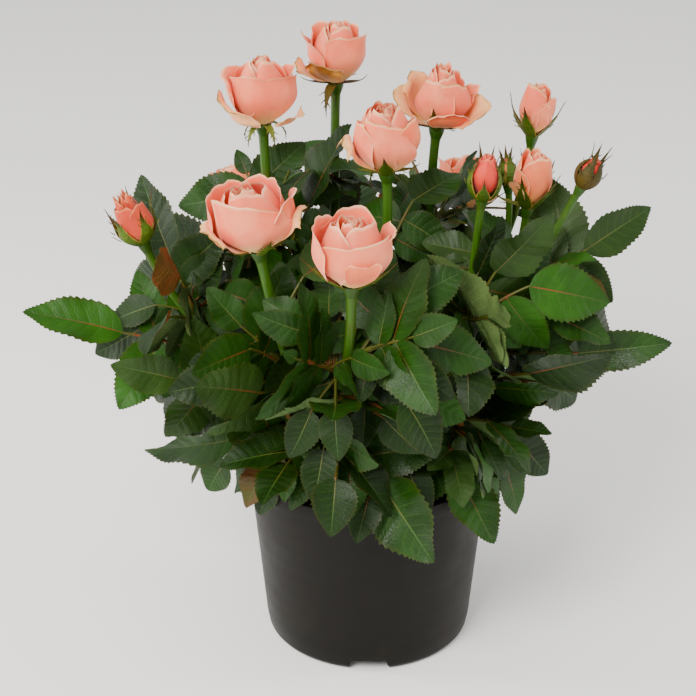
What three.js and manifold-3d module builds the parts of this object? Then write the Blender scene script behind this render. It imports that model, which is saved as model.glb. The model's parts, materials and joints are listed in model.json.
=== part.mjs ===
// A patio rose bush in its round nursery pot, in full bloom.
//
// Millimetres, +Z up. The origin is the middle of the pot's flat underside, and the bush's front faces -Y.
// Four woody stumps stand in the compost. Each bears three or four long flower stems, and every flower stem
// carries leafy side shoots: one foliage mass is one shoot with its leaves, fused into a single solid.

import * as THREE from "three";
import { mergeVertices } from "three/addons/utils/BufferGeometryUtils.js";
import Module from "manifold-3d";

const wasm = await Module();
wasm.setup();

// ---------- Driving dimensions ----------

const GAP = 0.3; // clearance between two pieces that touch
const UP = new THREE.Vector3(0, 0, 1);
const GOLDEN_TURN = Math.PI * (3 - Math.sqrt(5));

const POT = {
  height: 100,
  baseRadius: 52,
  wallTopRadius: 61.5,
  rimRadius: 65,
  rimHeight: 8,
  wall: 1.6,
  floor: 2.2,
  heel: 4,
  sides: 32,
};

// Drain notches are let into the heel of the pot, each under a small vaulted pocket with a drain slot.
const NOTCH = {
  count: 3,
  height: 6.3,
  widthBelow: 22,
  widthAbove: 17,
  depth: 13,
  skin: 1.5,
  slot: { width: 5, length: 9 },
};

const COMPOST = { top: 90, sides: 24, crown: 1.6, flatRadius: 36 };

const STUMP = { height: 40, footRadius: 4.4, neckRadius: 3.4, tipRadius: 3, sides: 7, steps: 4 };
const STUMPS = [
  { name: "woody_stump_front_left", foot: [-15, -13], lean: [-0.12, -0.1] },
  { name: "woody_stump_front_right", foot: [16, -12], lean: [0.14, -0.08] },
  { name: "woody_stump_back_left", foot: [-14, 14], lean: [-0.1, 0.12] },
  { name: "woody_stump_back_right", foot: [16, 15], lean: [0.12, 0.12] },
];

const STEM = {
  footRadius: 2.5,
  neckRadius: 1.9,
  hipRadius: 4,
  hipLength: 6.5,
  sides: 5,
  steps: 5,
  spring: 0.34,
};

// Each flower: the stump that bears it and how far up, the seat of its bloom, how much it leans for each
// millimetre of height, its width and height, how many guard petals spread below it, and how far it is turned.
const FLOWERS = [
  {
    name: "front",
    kind: "bloom",
    bears: { stump: 0, at: 0.9 },
    seat: [-9, -75, 227],
    lean: [0, 0],
    size: [39, 32],
    guards: 0,
    turn: 0.4,
  },
  {
    name: "front_left",
    kind: "bloom",
    bears: { stump: 0, at: 0.62 },
    seat: [-52, -49, 233],
    lean: [-0.2, -0.04],
    size: [42, 31],
    guards: 0,
    turn: 2.0,
  },
  {
    name: "left",
    kind: "opening",
    bears: { stump: 0, at: 0.34 },
    seat: [-109, -9, 219],
    lean: [-0.38, -0.04],
    size: [19, 27],
    guards: 0,
    turn: 0.9,
  },
  {
    name: "middle",
    kind: "bloom",
    bears: { stump: 1, at: 0.95 },
    seat: [8, 0, 252],
    lean: [-0.04, -0.02],
    size: [35, 31],
    guards: 1,
    turn: 3.0,
  },
  {
    name: "right_front",
    kind: "bud",
    bears: { stump: 1, at: 0.78 },
    seat: [53, -15, 245],
    lean: [0.1, -0.02],
    size: [16, 22],
    guards: 0,
    turn: 1.1,
  },
  {
    name: "right",
    kind: "opening",
    bears: { stump: 1, at: 0.53 },
    seat: [77, 13, 228],
    lean: [0.12, 0.02],
    size: [19, 29],
    guards: 0,
    turn: 2.2,
  },
  {
    name: "far_right",
    kind: "bud",
    bears: { stump: 1, at: 0.2 },
    seat: [102, 2, 244],
    lean: [0.5, 0],
    size: [12.5, 17],
    guards: 0,
    turn: 0.2,
  },
  {
    name: "back_left",
    kind: "bloom",
    bears: { stump: 2, at: 0.66 },
    seat: [-52, 35, 263],
    lean: [-0.03, 0.02],
    size: [34, 31],
    guards: 2,
    turn: 2.9,
  },
  {
    name: "top",
    kind: "bloom",
    bears: { stump: 2, at: 0.95 },
    seat: [-16.5, 60, 275],
    lean: [0.02, 0.04],
    size: [30, 29],
    guards: 1,
    turn: 4.2,
  },
  {
    name: "rear_left",
    kind: "bloom",
    bears: { stump: 2, at: 0.36 },
    seat: [-66, 92, 186],
    lean: [-0.3, 0.4],
    size: [38, 30],
    guards: 0,
    turn: 1.3,
  },
  {
    name: "back_right",
    kind: "bloom",
    bears: { stump: 3, at: 0.92 },
    seat: [33.5, 45, 257],
    lean: [0.1, 0.02],
    size: [30, 31],
    guards: 3,
    turn: 5.2,
  },
  {
    name: "right_tall",
    kind: "opening",
    bears: { stump: 3, at: 0.66 },
    seat: [81, 50, 251],
    lean: [0.1, 0.04],
    size: [19, 27],
    guards: 0,
    turn: 4.0,
  },
  {
    name: "small",
    kind: "bud",
    bears: { stump: 3, at: 0.2 },
    seat: [69, 41, 229],
    lean: [-0.1, 0],
    size: [10, 14],
    guards: 0,
    turn: 2.4,
  },
  {
    name: "rear_right",
    kind: "bloom",
    bears: { stump: 3, at: 0.47 },
    seat: [50, 97, 190],
    lean: [0.2, 0.45],
    size: [35, 29],
    guards: 0,
    turn: 0.7,
  },
];

// The calyx is a star of five sepals; each kind of flower holds them at a different slope.
const CALYX = { sepals: 5, reach: 14, slope: { bloom: -0.2, opening: 0.7, bud: 0.85 } };

// A bloom is one turned body whose surface steps in and out where each petal laps over the next.
const BLOOM = { petals: 5, facetsPerPetal: 3, lap: 0.13, swirl: 0.36, scallop: 0.05 };
const GUARD_PETAL = {
  thickness: 1,
  radii: [0.3, 1, 1.5],
  heights: [0.1, 0.16, 0.26],
  halfTurns: [0.2, 0.5, 0.34],
};

// Each foliage mass: the flower stem that its shoot springs from and how far up, the furthest tip that its end
// leaf reaches, how many leaves it can carry, their size, and how far round the first of them is turned.
const MASSES = [
  { name: "left_far", on: ["left", 0.5], reach: [-166, -20, 191], leaves: 4, size: 1, turn: 0.6 },
  { name: "left_mid", on: ["left", 0.3], reach: [-130, -46, 174], leaves: 5, size: 0.9, turn: 2.4 },
  { name: "left_upper", on: ["left", 0.66], reach: [-114, 22, 240], leaves: 4, size: 0.95, turn: 0.2 },
  { name: "left_low", on: ["left", 0.16], reach: [-108, -50, 123], leaves: 5, size: 1.05, turn: 1.5 },
  { name: "heart_left", on: ["front_left", 0.42], reach: [-78, -34, 205], leaves: 5, size: 0.95, turn: 0.4 },
  { name: "front_left", on: ["front_left", 0.3], reach: [-77, -89, 183], leaves: 5, size: 0.95, turn: 2.9 },
  { name: "front_left_low", on: ["front_left", 0.14], reach: [-52, -86, 120], leaves: 5, size: 0.9, turn: 0.3 },
  { name: "heart_front_left", on: ["front", 0.5], reach: [-40, -84, 197], leaves: 5, size: 0.9, turn: 1.9 },
  { name: "front_centre", on: ["front", 0.3], reach: [-17, -111, 180], leaves: 6, size: 0.85, turn: 1.2 },
  { name: "front_low", on: ["front", 0.14], reach: [29, -89, 88], leaves: 7, size: 1, turn: 3.3 },
  { name: "heart_front_right", on: ["front", 0.64], reach: [38, -86, 214], leaves: 4, size: 0.95, turn: 0.5 },
  { name: "front_right_low", on: ["right_front", 0.12], reach: [59, -67, 85], leaves: 7, size: 1.05, turn: 0.8 },
  { name: "front_right", on: ["right_front", 0.5], reach: [70, -84, 222], leaves: 5, size: 1, turn: 2.1 },
  { name: "right_mid", on: ["far_right", 0.32], reach: [110, -60, 181], leaves: 5, size: 1, turn: 0.1 },
  { name: "right_low", on: ["far_right", 0.2], reach: [88, -38, 130], leaves: 5, size: 0.95, turn: 2.7 },
  { name: "right_far", on: ["far_right", 0.42], reach: [147, -20, 168], leaves: 5, size: 0.95, turn: 1.9 },
  { name: "right_upper", on: ["far_right", 0.66], reach: [139, 22, 224], leaves: 4, size: 1, turn: 0.5 },
  { name: "top_centre", on: ["back_left", 0.5], reach: [-13, 36, 264], leaves: 4, size: 0.95, turn: 3.6 },
  { name: "top_right", on: ["back_right", 0.6], reach: [54, 62, 238], leaves: 5, size: 0.95, turn: 1.4 },
  { name: "top_left", on: ["back_left", 0.62], reach: [-66, 58, 240], leaves: 5, size: 0.95, turn: 2.6 },
  { name: "heart_right", on: ["right", 0.5], reach: [94, 38, 202], leaves: 5, size: 0.95, turn: 1.3 },
  { name: "rear_left", on: ["back_left", 0.3], reach: [-118, 74, 196], leaves: 5, size: 1.05, turn: 0.9 },
  { name: "rear", on: ["top", 0.36], reach: [-8, 132, 200], leaves: 5, size: 1, turn: 1.7 },
  { name: "rear_right", on: ["right_tall", 0.36], reach: [116, 84, 190], leaves: 5, size: 1.05, turn: 2.3 },
  { name: "rear_low_left", on: ["rear_left", 0.2], reach: [-62, 96, 112], leaves: 6, size: 1, turn: 0.7 },
  { name: "rear_low_right", on: ["rear_right", 0.2], reach: [66, 94, 114], leaves: 6, size: 1, turn: 3.1 },
];

const SHOOT = { footRadius: 1.55, tipRadius: 1.35, steps: 3, spring: 0.35 };

// A rose leaf: a thin stalk with leaflets in pairs along it and one at its end. Sizes are for a leaf of size 1.
const LEAF = {
  stalk: 44,
  endStalk: 52,
  shortestStalk: 24,
  stalkRadius: 1.1,
  droop: 0.16,
  firstAt: 0.3,
  lastAt: 0.88,
  leaving: 1.05, // angle between the shoot and a leaf's stalk, in radians
  spread: 1.2, // angle between the stalk and a side leaflet, in radians
  stagger: 0.025, // the two leaflets of a pair are this share of the stalk before and after the pair's place
  hang: 0.45, // how steeply the leaflets hang
  pairs: [
    { at: 0.58, length: 40, width: 25 },
    { at: 0.24, length: 30, width: 19 },
  ],
  end: { length: 49, width: 32 },
  thickness: 1.5, // where the midrib is highest, a quarter of the way along
  ribAt: 0.24,
  fold: 0.18,
  curl: 0.08,
  slimmest: 0.6, // an end leaf's end leaflet is at most this share of its length wide
  root: 0.35, // how far a leaflet's foot runs past the middle of the stalk
  outline: [
    [0.34, 0.46],
    [0.68, 0.36],
  ],
};
const CROWN_HEART = new THREE.Vector3(0, 0, 150);
const LIGHT = new THREE.Vector3(0, -1, 0); // the side that leaves turn their faces to
const LIGHT_DEPTH = 45; // leaves further back than this don't turn
const TRIES = 30;
const OWN_SPACE_SLACK = 22; // how far, in mm, a leaf tip may lie nearer to a neighbour's spine than to its own

const COLOURS = {
  pot: { color: 0x2b2a28, roughness: 0.55, metalness: 0 },
  compost: { color: 0x2e2118, roughness: 0.95, metalness: 0 },
  bark: { color: 0x5b4a2e, roughness: 0.9, metalness: 0 },
  stem: { color: 0x5d8a22, roughness: 0.5, metalness: 0 },
  bloom: { color: 0xf2a595, roughness: 0.6, metalness: 0 },
  bud: { color: 0xd8665a, roughness: 0.6, metalness: 0 },
  leaf: { color: 0x2f5a26, roughness: 0.5, metalness: 0 },
};

// ---------- Small helpers ----------

const point = (x, y, z) => new THREE.Vector3(x, y, z);

// A repeatable stream of numbers from 0 to 1: the same seed always gives the same plant.
function seededRandom(seed) {
  let state = (seed * 2654435761) % 4294967296;
  return () => {
    state = (Math.imul(state, 1664525) + 1013904223) >>> 0;
    return state / 4294967296;
  };
}

// A closed geometry as a solid that can be cut and joined.
function solidFrom(geometry) {
  const bare = geometry.clone();
  bare.deleteAttribute("normal");
  bare.deleteAttribute("uv");
  const merged = mergeVertices(bare, 1e-4);
  const mesh = new wasm.Mesh({
    numProp: 3,
    vertProperties: merged.attributes.position.array,
    triVerts: new Uint32Array(merged.index.array),
  });
  return new wasm.Manifold(mesh);
}

// A solid as a geometry that can be shown.
function geometryFrom(solid) {
  const { numProp, vertProperties, triVerts } = solid.getMesh();
  const positions = new Float32Array((vertProperties.length / numProp) * 3);
  for (let i = 0; i * numProp < vertProperties.length; i++)
    positions.set(vertProperties.subarray(i * numProp, i * numProp + 3), i * 3);
  return new THREE.BufferGeometry()
    .setAttribute("position", new THREE.BufferAttribute(positions, 3))
    .setIndex(new THREE.BufferAttribute(new Uint32Array(triVerts), 1));
}

const joined = (solids) => solids.reduce((whole, piece) => whole.add(piece));

// Moves every vertex of a geometry to the place that a rule gives it.
function reshaped(geometry, rule) {
  const positions = geometry.attributes.position;
  const at = new THREE.Vector3();
  for (let i = 0; i < positions.count; i++) {
    const moved = rule(at.fromBufferAttribute(positions, i));
    positions.setXYZ(i, moved.x, moved.y, moved.z);
  }
  return geometry;
}

// ---------- Limbs ----------

// A limb's path: it leaves its foot in one direction and arrives at its end in another.
function limbPath(foot, leaving, end, arriving, spring) {
  const reach = foot.distanceTo(end) * spring;
  return new THREE.CubicBezierCurve3(
    foot,
    foot.clone().addScaledVector(leaving, reach),
    end.clone().addScaledVector(arriving, -reach),
    end,
  );
}

// A horizontal direction square to a path's chord, for placing the ring of a limb.
function steadySide(path) {
  const chord = path.getPoint(1).sub(path.getPoint(0));
  const side = chord.clone().cross(UP);
  return side.lengthSq() < 1e-6 * chord.lengthSq() ? point(1, 0, 0) : side.normalize();
}

// One tapering limb with flat ends: rings of the stated radii at the stated places along a path.
function limbSolid(path, stations, sides, grown = 0) {
  const steady = steadySide(path);
  const rings = stations.map(([at, radius, past = 0]) => {
    const along = path.getTangent(at).normalize();
    const across = steady.clone().addScaledVector(along, -steady.dot(along)).normalize();
    const centre = path.getPoint(at).addScaledVector(along, past);
    return { centre, radius: radius + grown, across, over: along.clone().cross(across) };
  });
  const steps = stations.length - 1;
  const tube = new THREE.CylinderGeometry(1, 1, 1, sides, steps).rotateY(-Math.PI / 2);
  return solidFrom(
    reshaped(tube, (at) => {
      const ring = rings[Math.round((at.y + 0.5) * steps)];
      return ring.centre
        .clone()
        .addScaledVector(ring.over, at.x * ring.radius)
        .addScaledVector(ring.across, at.z * ring.radius);
    }),
  );
}

// Evenly spaced stations from one radius to another.
function taper(footRadius, tipRadius, steps) {
  return Array.from({ length: steps + 1 }, (_, i) => [
    i / steps,
    THREE.MathUtils.lerp(footRadius, tipRadius, i / steps),
  ]);
}

// ---------- Pot and compost ----------

const innerRadiusAt = (z) =>
  THREE.MathUtils.lerp(POT.baseRadius, POT.wallTopRadius, z / POT.height) - POT.wall;

// A profile of [radius, height] pairs turned round the upright axis.
function turned(profile, sides) {
  const lathe = new THREE.LatheGeometry(profile.map(([r, z]) => new THREE.Vector2(r, z)), sides);
  return solidFrom(lathe.rotateX(Math.PI / 2));
}

// A block with a trapezium section that lies along a radius of the pot, grown by a margin on every side.
function notchBlock(margin, innerEnd, outerEnd) {
  const below = NOTCH.widthBelow / 2 + margin;
  const above = NOTCH.widthAbove / 2 + margin;
  const section = new THREE.Shape([
    new THREE.Vector2(-below, -1),
    new THREE.Vector2(below, -1),
    new THREE.Vector2(above, NOTCH.height + margin),
    new THREE.Vector2(-above, NOTCH.height + margin),
  ]);
  const block = new THREE.ExtrudeGeometry(section, { depth: outerEnd - innerEnd, bevelEnabled: false });
  block.rotateX(Math.PI / 2).translate(0, -innerEnd, 0);
  return block;
}

const notchTurn = (index) => (index * 2 * Math.PI) / NOTCH.count;

function potSolid() {
  const heel = POT.heel;
  const heelArc = [0, 1, 2].map((i) => {
    const angle = (i / 2) * (Math.PI / 2);
    return [POT.baseRadius - heel + heel * Math.sin(angle), heel - heel * Math.cos(angle)];
  });
  const rimFoot = POT.height - POT.rimHeight;
  const profile = [
    [0, 0],
    ...heelArc,
    [THREE.MathUtils.lerp(POT.baseRadius, POT.wallTopRadius, rimFoot / POT.height), rimFoot],
    [POT.rimRadius - 0.4, rimFoot + 0.8],
    [POT.rimRadius, POT.height],
    [POT.rimRadius - POT.wall - 0.6, POT.height],
    [innerRadiusAt(rimFoot), rimFoot - 2],
    [innerRadiusAt(POT.floor), POT.floor],
    [0, POT.floor],
  ];
  let pot = turned(profile, POT.sides);
  const innerEnd = POT.baseRadius - NOTCH.depth;
  const inside = turned(
    [
      [0, POT.floor / 2],
      [innerRadiusAt(POT.floor / 2) + POT.wall / 2, POT.floor / 2],
      [innerRadiusAt(30) + POT.wall / 2, 30],
      [0, 30],
    ],
    POT.sides,
  );
  for (let i = 0; i < NOTCH.count; i++) {
    const pocket = notchBlock(NOTCH.skin, innerEnd - NOTCH.skin, POT.baseRadius).rotateZ(notchTurn(i));
    const hollow = notchBlock(0, innerEnd, POT.baseRadius + 5).rotateZ(notchTurn(i));
    const slot = new THREE.BoxGeometry(NOTCH.slot.length, NOTCH.slot.width, 6);
    slot.translate(0, -(innerEnd + NOTCH.slot.width), NOTCH.height).rotateZ(notchTurn(i));
    pot = pot
      .add(solidFrom(pocket).intersect(inside))
      .subtract(solidFrom(hollow))
      .subtract(solidFrom(slot));
  }
  return pot;
}

function compostSolid() {
  const floor = POT.floor + GAP;
  const side = (z) => innerRadiusAt(z) - 2 * GAP;
  const profile = [
    [0, floor],
    [side(floor), floor],
    [side(COMPOST.top - COMPOST.crown), COMPOST.top - COMPOST.crown],
    [COMPOST.flatRadius, COMPOST.top],
    [0, COMPOST.top],
  ];
  let compost = turned(profile, COMPOST.sides);
  for (let i = 0; i < NOTCH.count; i++) {
    const margin = NOTCH.skin + GAP;
    const room = notchBlock(margin, POT.baseRadius - NOTCH.depth - margin, POT.baseRadius);
    compost = compost.subtract(solidFrom(room.rotateZ(notchTurn(i))));
  }
  return compost;
}

// ---------- Stumps and flower stems ----------

const stumpPaths = STUMPS.map(({ foot, lean }) => {
  const base = point(foot[0], foot[1], COMPOST.top + GAP);
  const leaning = point(lean[0], lean[1], 1).normalize();
  return limbPath(base, UP, base.clone().addScaledVector(leaning, STUMP.height), leaning, 1 / 3);
});

const stumpStations = [
  [0, STUMP.footRadius],
  [0.2, STUMP.neckRadius],
  [0.6, (STUMP.neckRadius + STUMP.tipRadius) / 2],
  [1, STUMP.tipRadius],
];

const stumpSolid = (index, grown = 0) =>
  limbSolid(stumpPaths[index], stumpStations, STUMP.sides, grown);

const flowerAxis = ({ lean }) => point(lean[0], lean[1], 1).normalize();
const seatFrame = (flower) =>
  new THREE.Matrix4()
    .makeRotationFromQuaternion(new THREE.Quaternion().setFromUnitVectors(UP, flowerAxis(flower)))
    .setPosition(point(...flower.seat));
const hipRadiusOf = (flower) => STEM.hipRadius * (0.55 + 0.45 * Math.min(1, flower.size[0] / 34));

const flowerPaths = FLOWERS.map((flower) => {
  const foot = stumpPaths[flower.bears.stump].getPoint(flower.bears.at);
  const axis = flowerAxis(flower);
  const end = point(...flower.seat).addScaledVector(axis, -STEM.hipLength - GAP);
  const away = end.clone().sub(foot).setZ(0).normalize();
  const leaving = away.addScaledVector(UP, 1.1).normalize();
  return limbPath(foot, leaving, end, axis, STEM.spring);
});

// Rings of a flower stem: an even taper, then the swelling hip under the bloom.
function stemStations(flower) {
  const hip = hipRadiusOf(flower);
  const neck = Math.min(STEM.neckRadius, hip * 0.55);
  return [
    ...taper(STEM.footRadius, neck, STEM.steps),
    [1, hip, STEM.hipLength * 0.55],
    [1, hip * 0.88, STEM.hipLength],
  ];
}

// A pointed blade. Outline pairs are [share of the length, half width as a share of the width]. The edges are
// raised by the fold and the tip bends down by the curl.
function bladeGeometry(length, width, thickness) {
  const right = LEAF.outline.map(([at, half]) => [half * width, at]);
  const left = right.map(([x, at]) => [-x, at]).reverse();
  const rim = [[0, 0], ...right, [0, 1], ...left];
  const height = (x, at) => LEAF.fold * Math.abs(x) - LEAF.curl * length * at * at;
  const positions = rim.flatMap(([x, at]) => [x, at * length, height(x, at)]);
  for (const hand of [1, -1])
    positions.push(0, LEAF.ribAt * length, height(0, LEAF.ribAt) + (hand * thickness) / 2);
  const top = rim.length;
  const faces = rim.flatMap((_, i) => {
    const next = (i + 1) % rim.length;
    return [top, i, next, top + 1, next, i];
  });
  return new THREE.BufferGeometry()
    .setAttribute("position", new THREE.BufferAttribute(new Float32Array(positions), 3))
    .setIndex(faces);
}

// Places a blade: it starts a little behind its foot, runs forwards, and its face looks along the normal.
function bladeSolid(blade, foot, forward, normal) {
  const side = forward.clone().cross(normal).normalize();
  const face = side.clone().cross(forward).normalize();
  const start = foot.clone().addScaledVector(forward, -LEAF.root);
  return solidFrom(blade.applyMatrix4(new THREE.Matrix4().makeBasis(side, forward, face).setPosition(start)));
}

// A star of pointed sepals round the top of the hip, with one apex above its middle and one below.
function calyxSolid(flower) {
  const points = 2 * CALYX.sepals;
  const notch = hipRadiusOf(flower) * 1.08;
  const reach = CALYX.reach * (0.45 + 0.55 * Math.min(1, flower.size[0] / 30));
  const positions = [0, 0, -GAP - 0.2, 0, 0, -STEM.hipLength * 0.6];
  for (let i = 0; i < points; i++) {
    const angle = flower.turn + (i * 2 * Math.PI) / points;
    const radius = i % 2 ? notch : reach * (1 + 0.12 * Math.sin(2.3 * i));
    positions.push(Math.cos(angle) * radius, Math.sin(angle) * radius);
    positions.push(i % 2 ? -STEM.hipLength * 0.3 : radius * CALYX.slope[flower.kind] - 1);
  }
  const faces = Array.from({ length: points }, (_, i) => [i + 2, ((i + 1) % points) + 2]);
  const star = new THREE.BufferGeometry()
    .setAttribute("position", new THREE.BufferAttribute(new Float32Array(positions), 3))
    .setIndex(faces.flatMap(([from, to]) => [0, from, to, 1, to, from]));
  return solidFrom(star.applyMatrix4(seatFrame(flower)));
}

const stemSolid = (flower, i) =>
  limbSolid(flowerPaths[i], stemStations(flower), STEM.sides)
    .subtract(stumpSolid(flower.bears.stump, GAP))
    .add(calyxSolid(flower));

// ---------- Blooms ----------

// Each kind's profile, from its foot over its lip and in to its middle: [radius share, height share].
const bloomProfiles = {
  bloom: [
    [0.22, 0],
    [0.66, 0.1],
    [0.94, 0.36],
    [1, 0.62],
    [0.84, 0.88],
    [0.46, 0.9],
    [0.26, 1],
  ],
  opening: [
    [0.8, 0.32],
    [1, 0.5],
    [0.9, 0.74],
    [0.74, 0.9],
    [0.5, 0.86],
    [0.26, 1],
  ],
  bud: [
    [0.86, 0.36],
    [1, 0.5],
    [0.74, 0.76],
    [0.3, 0.96],
  ],
};

function bloomBody(flower) {
  const [width, tall] = flower.size;
  const isBud = flower.kind === "bud";
  const profile = bloomProfiles[flower.kind];
  const facets = BLOOM.petals * (isBud ? 2 : BLOOM.facetsPerPetal);
  const last = profile.at(-1);
  const closed = [[0, 0], ...profile, [0, last[1] - (isBud ? -0.04 : 0.08)]];
  const lathe = new THREE.LatheGeometry(closed.map(([r, z]) => new THREE.Vector2(r, z)), facets);
  lathe.rotateX(Math.PI / 2);
  return solidFrom(
    reshaped(lathe, (at) => {
      const radius = Math.hypot(at.x, at.y);
      const angle = Math.atan2(at.y, at.x) + BLOOM.swirl * at.z;
      const turns = (BLOOM.petals * (angle + 2 * Math.PI)) / (2 * Math.PI);
      const step = radius < 0.1 ? 0.5 : turns - Math.floor(turns + 1e-6);
      const lapped = (1 + BLOOM.lap * (step - 0.5)) * (width / 2);
      const lip = radius < 0.1 ? 0 : BLOOM.scallop * (0.5 - step) * tall;
      return point(at.x * lapped, at.y * lapped, at.z * tall + (at.z > 0.5 ? lip : 0));
    }),
  );
}

// A guard petal: a thin box bent round the bloom's axis, spreading from its foot.
function guardPetal(flower, turn) {
  const [width, tall] = flower.size;
  const rows = GUARD_PETAL.radii.length - 1;
  const box = new THREE.BoxGeometry(1, 1, 1, 2, rows);
  return solidFrom(
    reshaped(box, (at) => {
      const row = Math.round((at.y + 0.5) * rows);
      const angle = turn + at.x * 2 * GUARD_PETAL.halfTurns[row];
      const out = (GUARD_PETAL.radii[row] * width) / 2;
      const droop = row * 0.05 * tall * (2 * at.x) ** 2;
      const rise = GUARD_PETAL.heights[row] * tall - droop - at.z * GUARD_PETAL.thickness;
      return point(Math.cos(angle) * out, Math.sin(angle) * out, rise);
    }),
  );
}

function bloomSolid(flower) {
  const pieces = [bloomBody(flower)];
  for (let i = 0; i < flower.guards; i++) pieces.push(guardPetal(flower, flower.turn + i * GOLDEN_TURN));
  return joined(pieces).transform(seatFrame(flower).elements);
}

// ---------- Foliage ----------

const parentOf = (mass) => FLOWERS.findIndex(({ name }) => name === mass.on[0]);

// A mass's shoot: it leaves its flower stem sideways and ends where the stalk of its end leaf begins.
const shootPaths = MASSES.map((mass) => {
  const foot = flowerPaths[parentOf(mass)].getPoint(mass.on[1]);
  const reach = point(...mass.reach);
  const towards = reach.clone().sub(foot).normalize();
  const leafLength = (LEAF.endStalk + LEAF.end.length) * mass.size * 1.03;
  const shootLength = Math.max(14, foot.distanceTo(reach) - leafLength);
  const end = foot.clone().addScaledVector(towards, shootLength).addScaledVector(UP, shootLength * 0.12);
  const arriving = reach.clone().sub(end).normalize();
  const leaving = towards.clone().addScaledVector(UP, 0.35).normalize();
  return limbPath(foot, leaving, end, arriving, SHOOT.spring);
});

// The line that a mass keeps round: its shoot, then straight on to its furthest tip.
const spines = MASSES.map((mass, i) => {
  const end = shootPaths[i].getPoint(1);
  const reach = point(...mass.reach);
  const onwards = [0, 0.35, 0.7, 1].map((share) => end.clone().lerp(reach, share));
  return [shootPaths[i].getPoint(0.5), ...onwards];
});
const distanceToSpine = (at, spine) => Math.min(...spine.map((knot) => knot.distanceTo(at)));

// Whether a leaflet's tip lies nearer to its own mass's line than to any other, give or take the slack.
function isInOwnSpace({ foot, forward, length }, massIndex) {
  const tip = foot.clone().addScaledVector(forward, length);
  const own = distanceToSpine(tip, spines[massIndex]) - OWN_SPACE_SLACK;
  return spines.every((spine, i) => i === massIndex || distanceToSpine(tip, spine) >= own);
}

// Where one leaf goes: its stalk, and the foot, heading, face and size of each leaflet.
function leafPlan(massIndex, leafIndex, attempt) {
  const mass = MASSES[massIndex];
  const random = seededRandom(1 + massIndex * 997 + leafIndex * 89 + attempt * 13);
  const path = shootPaths[massIndex];
  const isEnd = leafIndex === mass.leaves - 1;
  const share = leafIndex / Math.max(1, mass.leaves - 2);
  const at = isEnd ? 0.95 : THREE.MathUtils.lerp(LEAF.firstAt, LEAF.lastAt, share);
  const foot = path.getPoint(at);
  const along = path.getTangent(at).normalize();
  const across = along.clone().cross(UP).normalize();
  const over = across.clone().cross(along);
  const loose = Math.min(1, attempt / 6);
  const spin = mass.turn + leafIndex * GOLDEN_TURN + (random() - 0.5) * (0.6 + 6 * loose);
  const open = isEnd ? 0 : LEAF.leaving + (random() - 0.5) * (0.5 + 0.6 * loose);
  const reach = point(...mass.reach);
  const ahead = along.clone();
  if (isEnd) ahead.lerp(reach.clone().sub(foot).normalize(), 0.6).normalize();
  const heading = ahead
    .multiplyScalar(Math.cos(open))
    .addScaledVector(across, Math.sin(open) * Math.cos(spin))
    .addScaledVector(over, Math.sin(open) * Math.sin(spin))
    .normalize();
  const outward = foot.clone().sub(CROWN_HEART).normalize();
  const size = mass.size * (isEnd ? 1 : 0.84 + 0.26 * random() - 0.2 * loose);
  const endStalk = Math.max(LEAF.shortestStalk, foot.distanceTo(reach) - LEAF.end.length * size);
  const length = isEnd ? endStalk : LEAF.stalk * size;
  const tip = foot
    .clone()
    .addScaledVector(heading, length)
    .addScaledVector(UP, -LEAF.droop * length * (isEnd ? 0.3 : 1));
  const bend = foot.clone().addScaledVector(heading, length / 2);
  const stalk = new THREE.QuadraticBezierCurve3(foot, bend, tip);
  const facing = UP.clone()
    .multiplyScalar(0.55)
    .addScaledVector(outward, 1)
    .addScaledVector(LIGHT, foot.y < LIGHT_DEPTH ? 0.6 : 0)
    .add(point(random() - 0.5, random() - 0.5, random() - 0.5).multiplyScalar(0.5));
  const hang = isEnd ? 0.1 : LEAF.hang * (0.6 + 0.8 * random());
  const leaflets = [];
  const addLeaflet = (place, turn, part, roll) => {
    const onwards = stalk.getTangent(place).normalize();
    const side = onwards.clone().cross(facing).normalize();
    const face = side.clone().cross(onwards);
    const forward = onwards.multiplyScalar(Math.cos(turn)).addScaledVector(side, Math.sin(turn));
    forward.addScaledVector(UP, -hang).normalize();
    const normal = face.addScaledVector(side, roll).normalize();
    const grown = size * (0.92 + 0.16 * random());
    const [leafletLength, width] = [part.length * grown, part.width * grown];
    leaflets.push({ foot: stalk.getPoint(place), forward, normal, length: leafletLength, width });
  };
  addLeaflet(1, 0, LEAF.end, 0.2 * (random() - 0.5));
  if (isEnd) {
    const toReach = reach.sub(leaflets[0].foot);
    leaflets[0].length = toReach.length();
    leaflets[0].width = Math.min(leaflets[0].width, LEAF.slimmest * leaflets[0].length);
    leaflets[0].forward = toReach.normalize();
  }
  for (const pair of LEAF.pairs.slice(0, isEnd ? 2 : 1))
    for (const hand of [1, -1]) {
      const turn = hand * (LEAF.spread + 0.2 * (random() - 0.5));
      addLeaflet(pair.at + hand * LEAF.stagger, turn, pair, hand * (0.1 + 0.35 * random()));
    }
  return { stalk, size, leaflets };
}

const leafletSolid = ({ foot, forward, normal, length, width }, grown = 0) =>
  bladeSolid(bladeGeometry(length + LEAF.root, width + grown, LEAF.thickness + grown), foot, forward, normal);

const stalkSolid = (leaf, grown = 0) =>
  limbSolid(leaf.stalk, taper(LEAF.stalkRadius, LEAF.stalkRadius * 0.8, 2), 3, grown);

const overlaps = (box, other) =>
  box.min.every((low, i) => low <= other.max[i]) && box.max.every((high, i) => high >= other.min[i]);

// A solid with its bounding box, so that most pairs need no exact test.
const boxed = (solid) => ({ solid, box: solid.boundingBox() });

const touches = (piece, other) =>
  overlaps(piece.box, other.box) && piece.solid.intersect(other.solid).volume() > 1e-6;
const isClear = (piece, others) => !others.some((other) => touches(piece, other));

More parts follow.
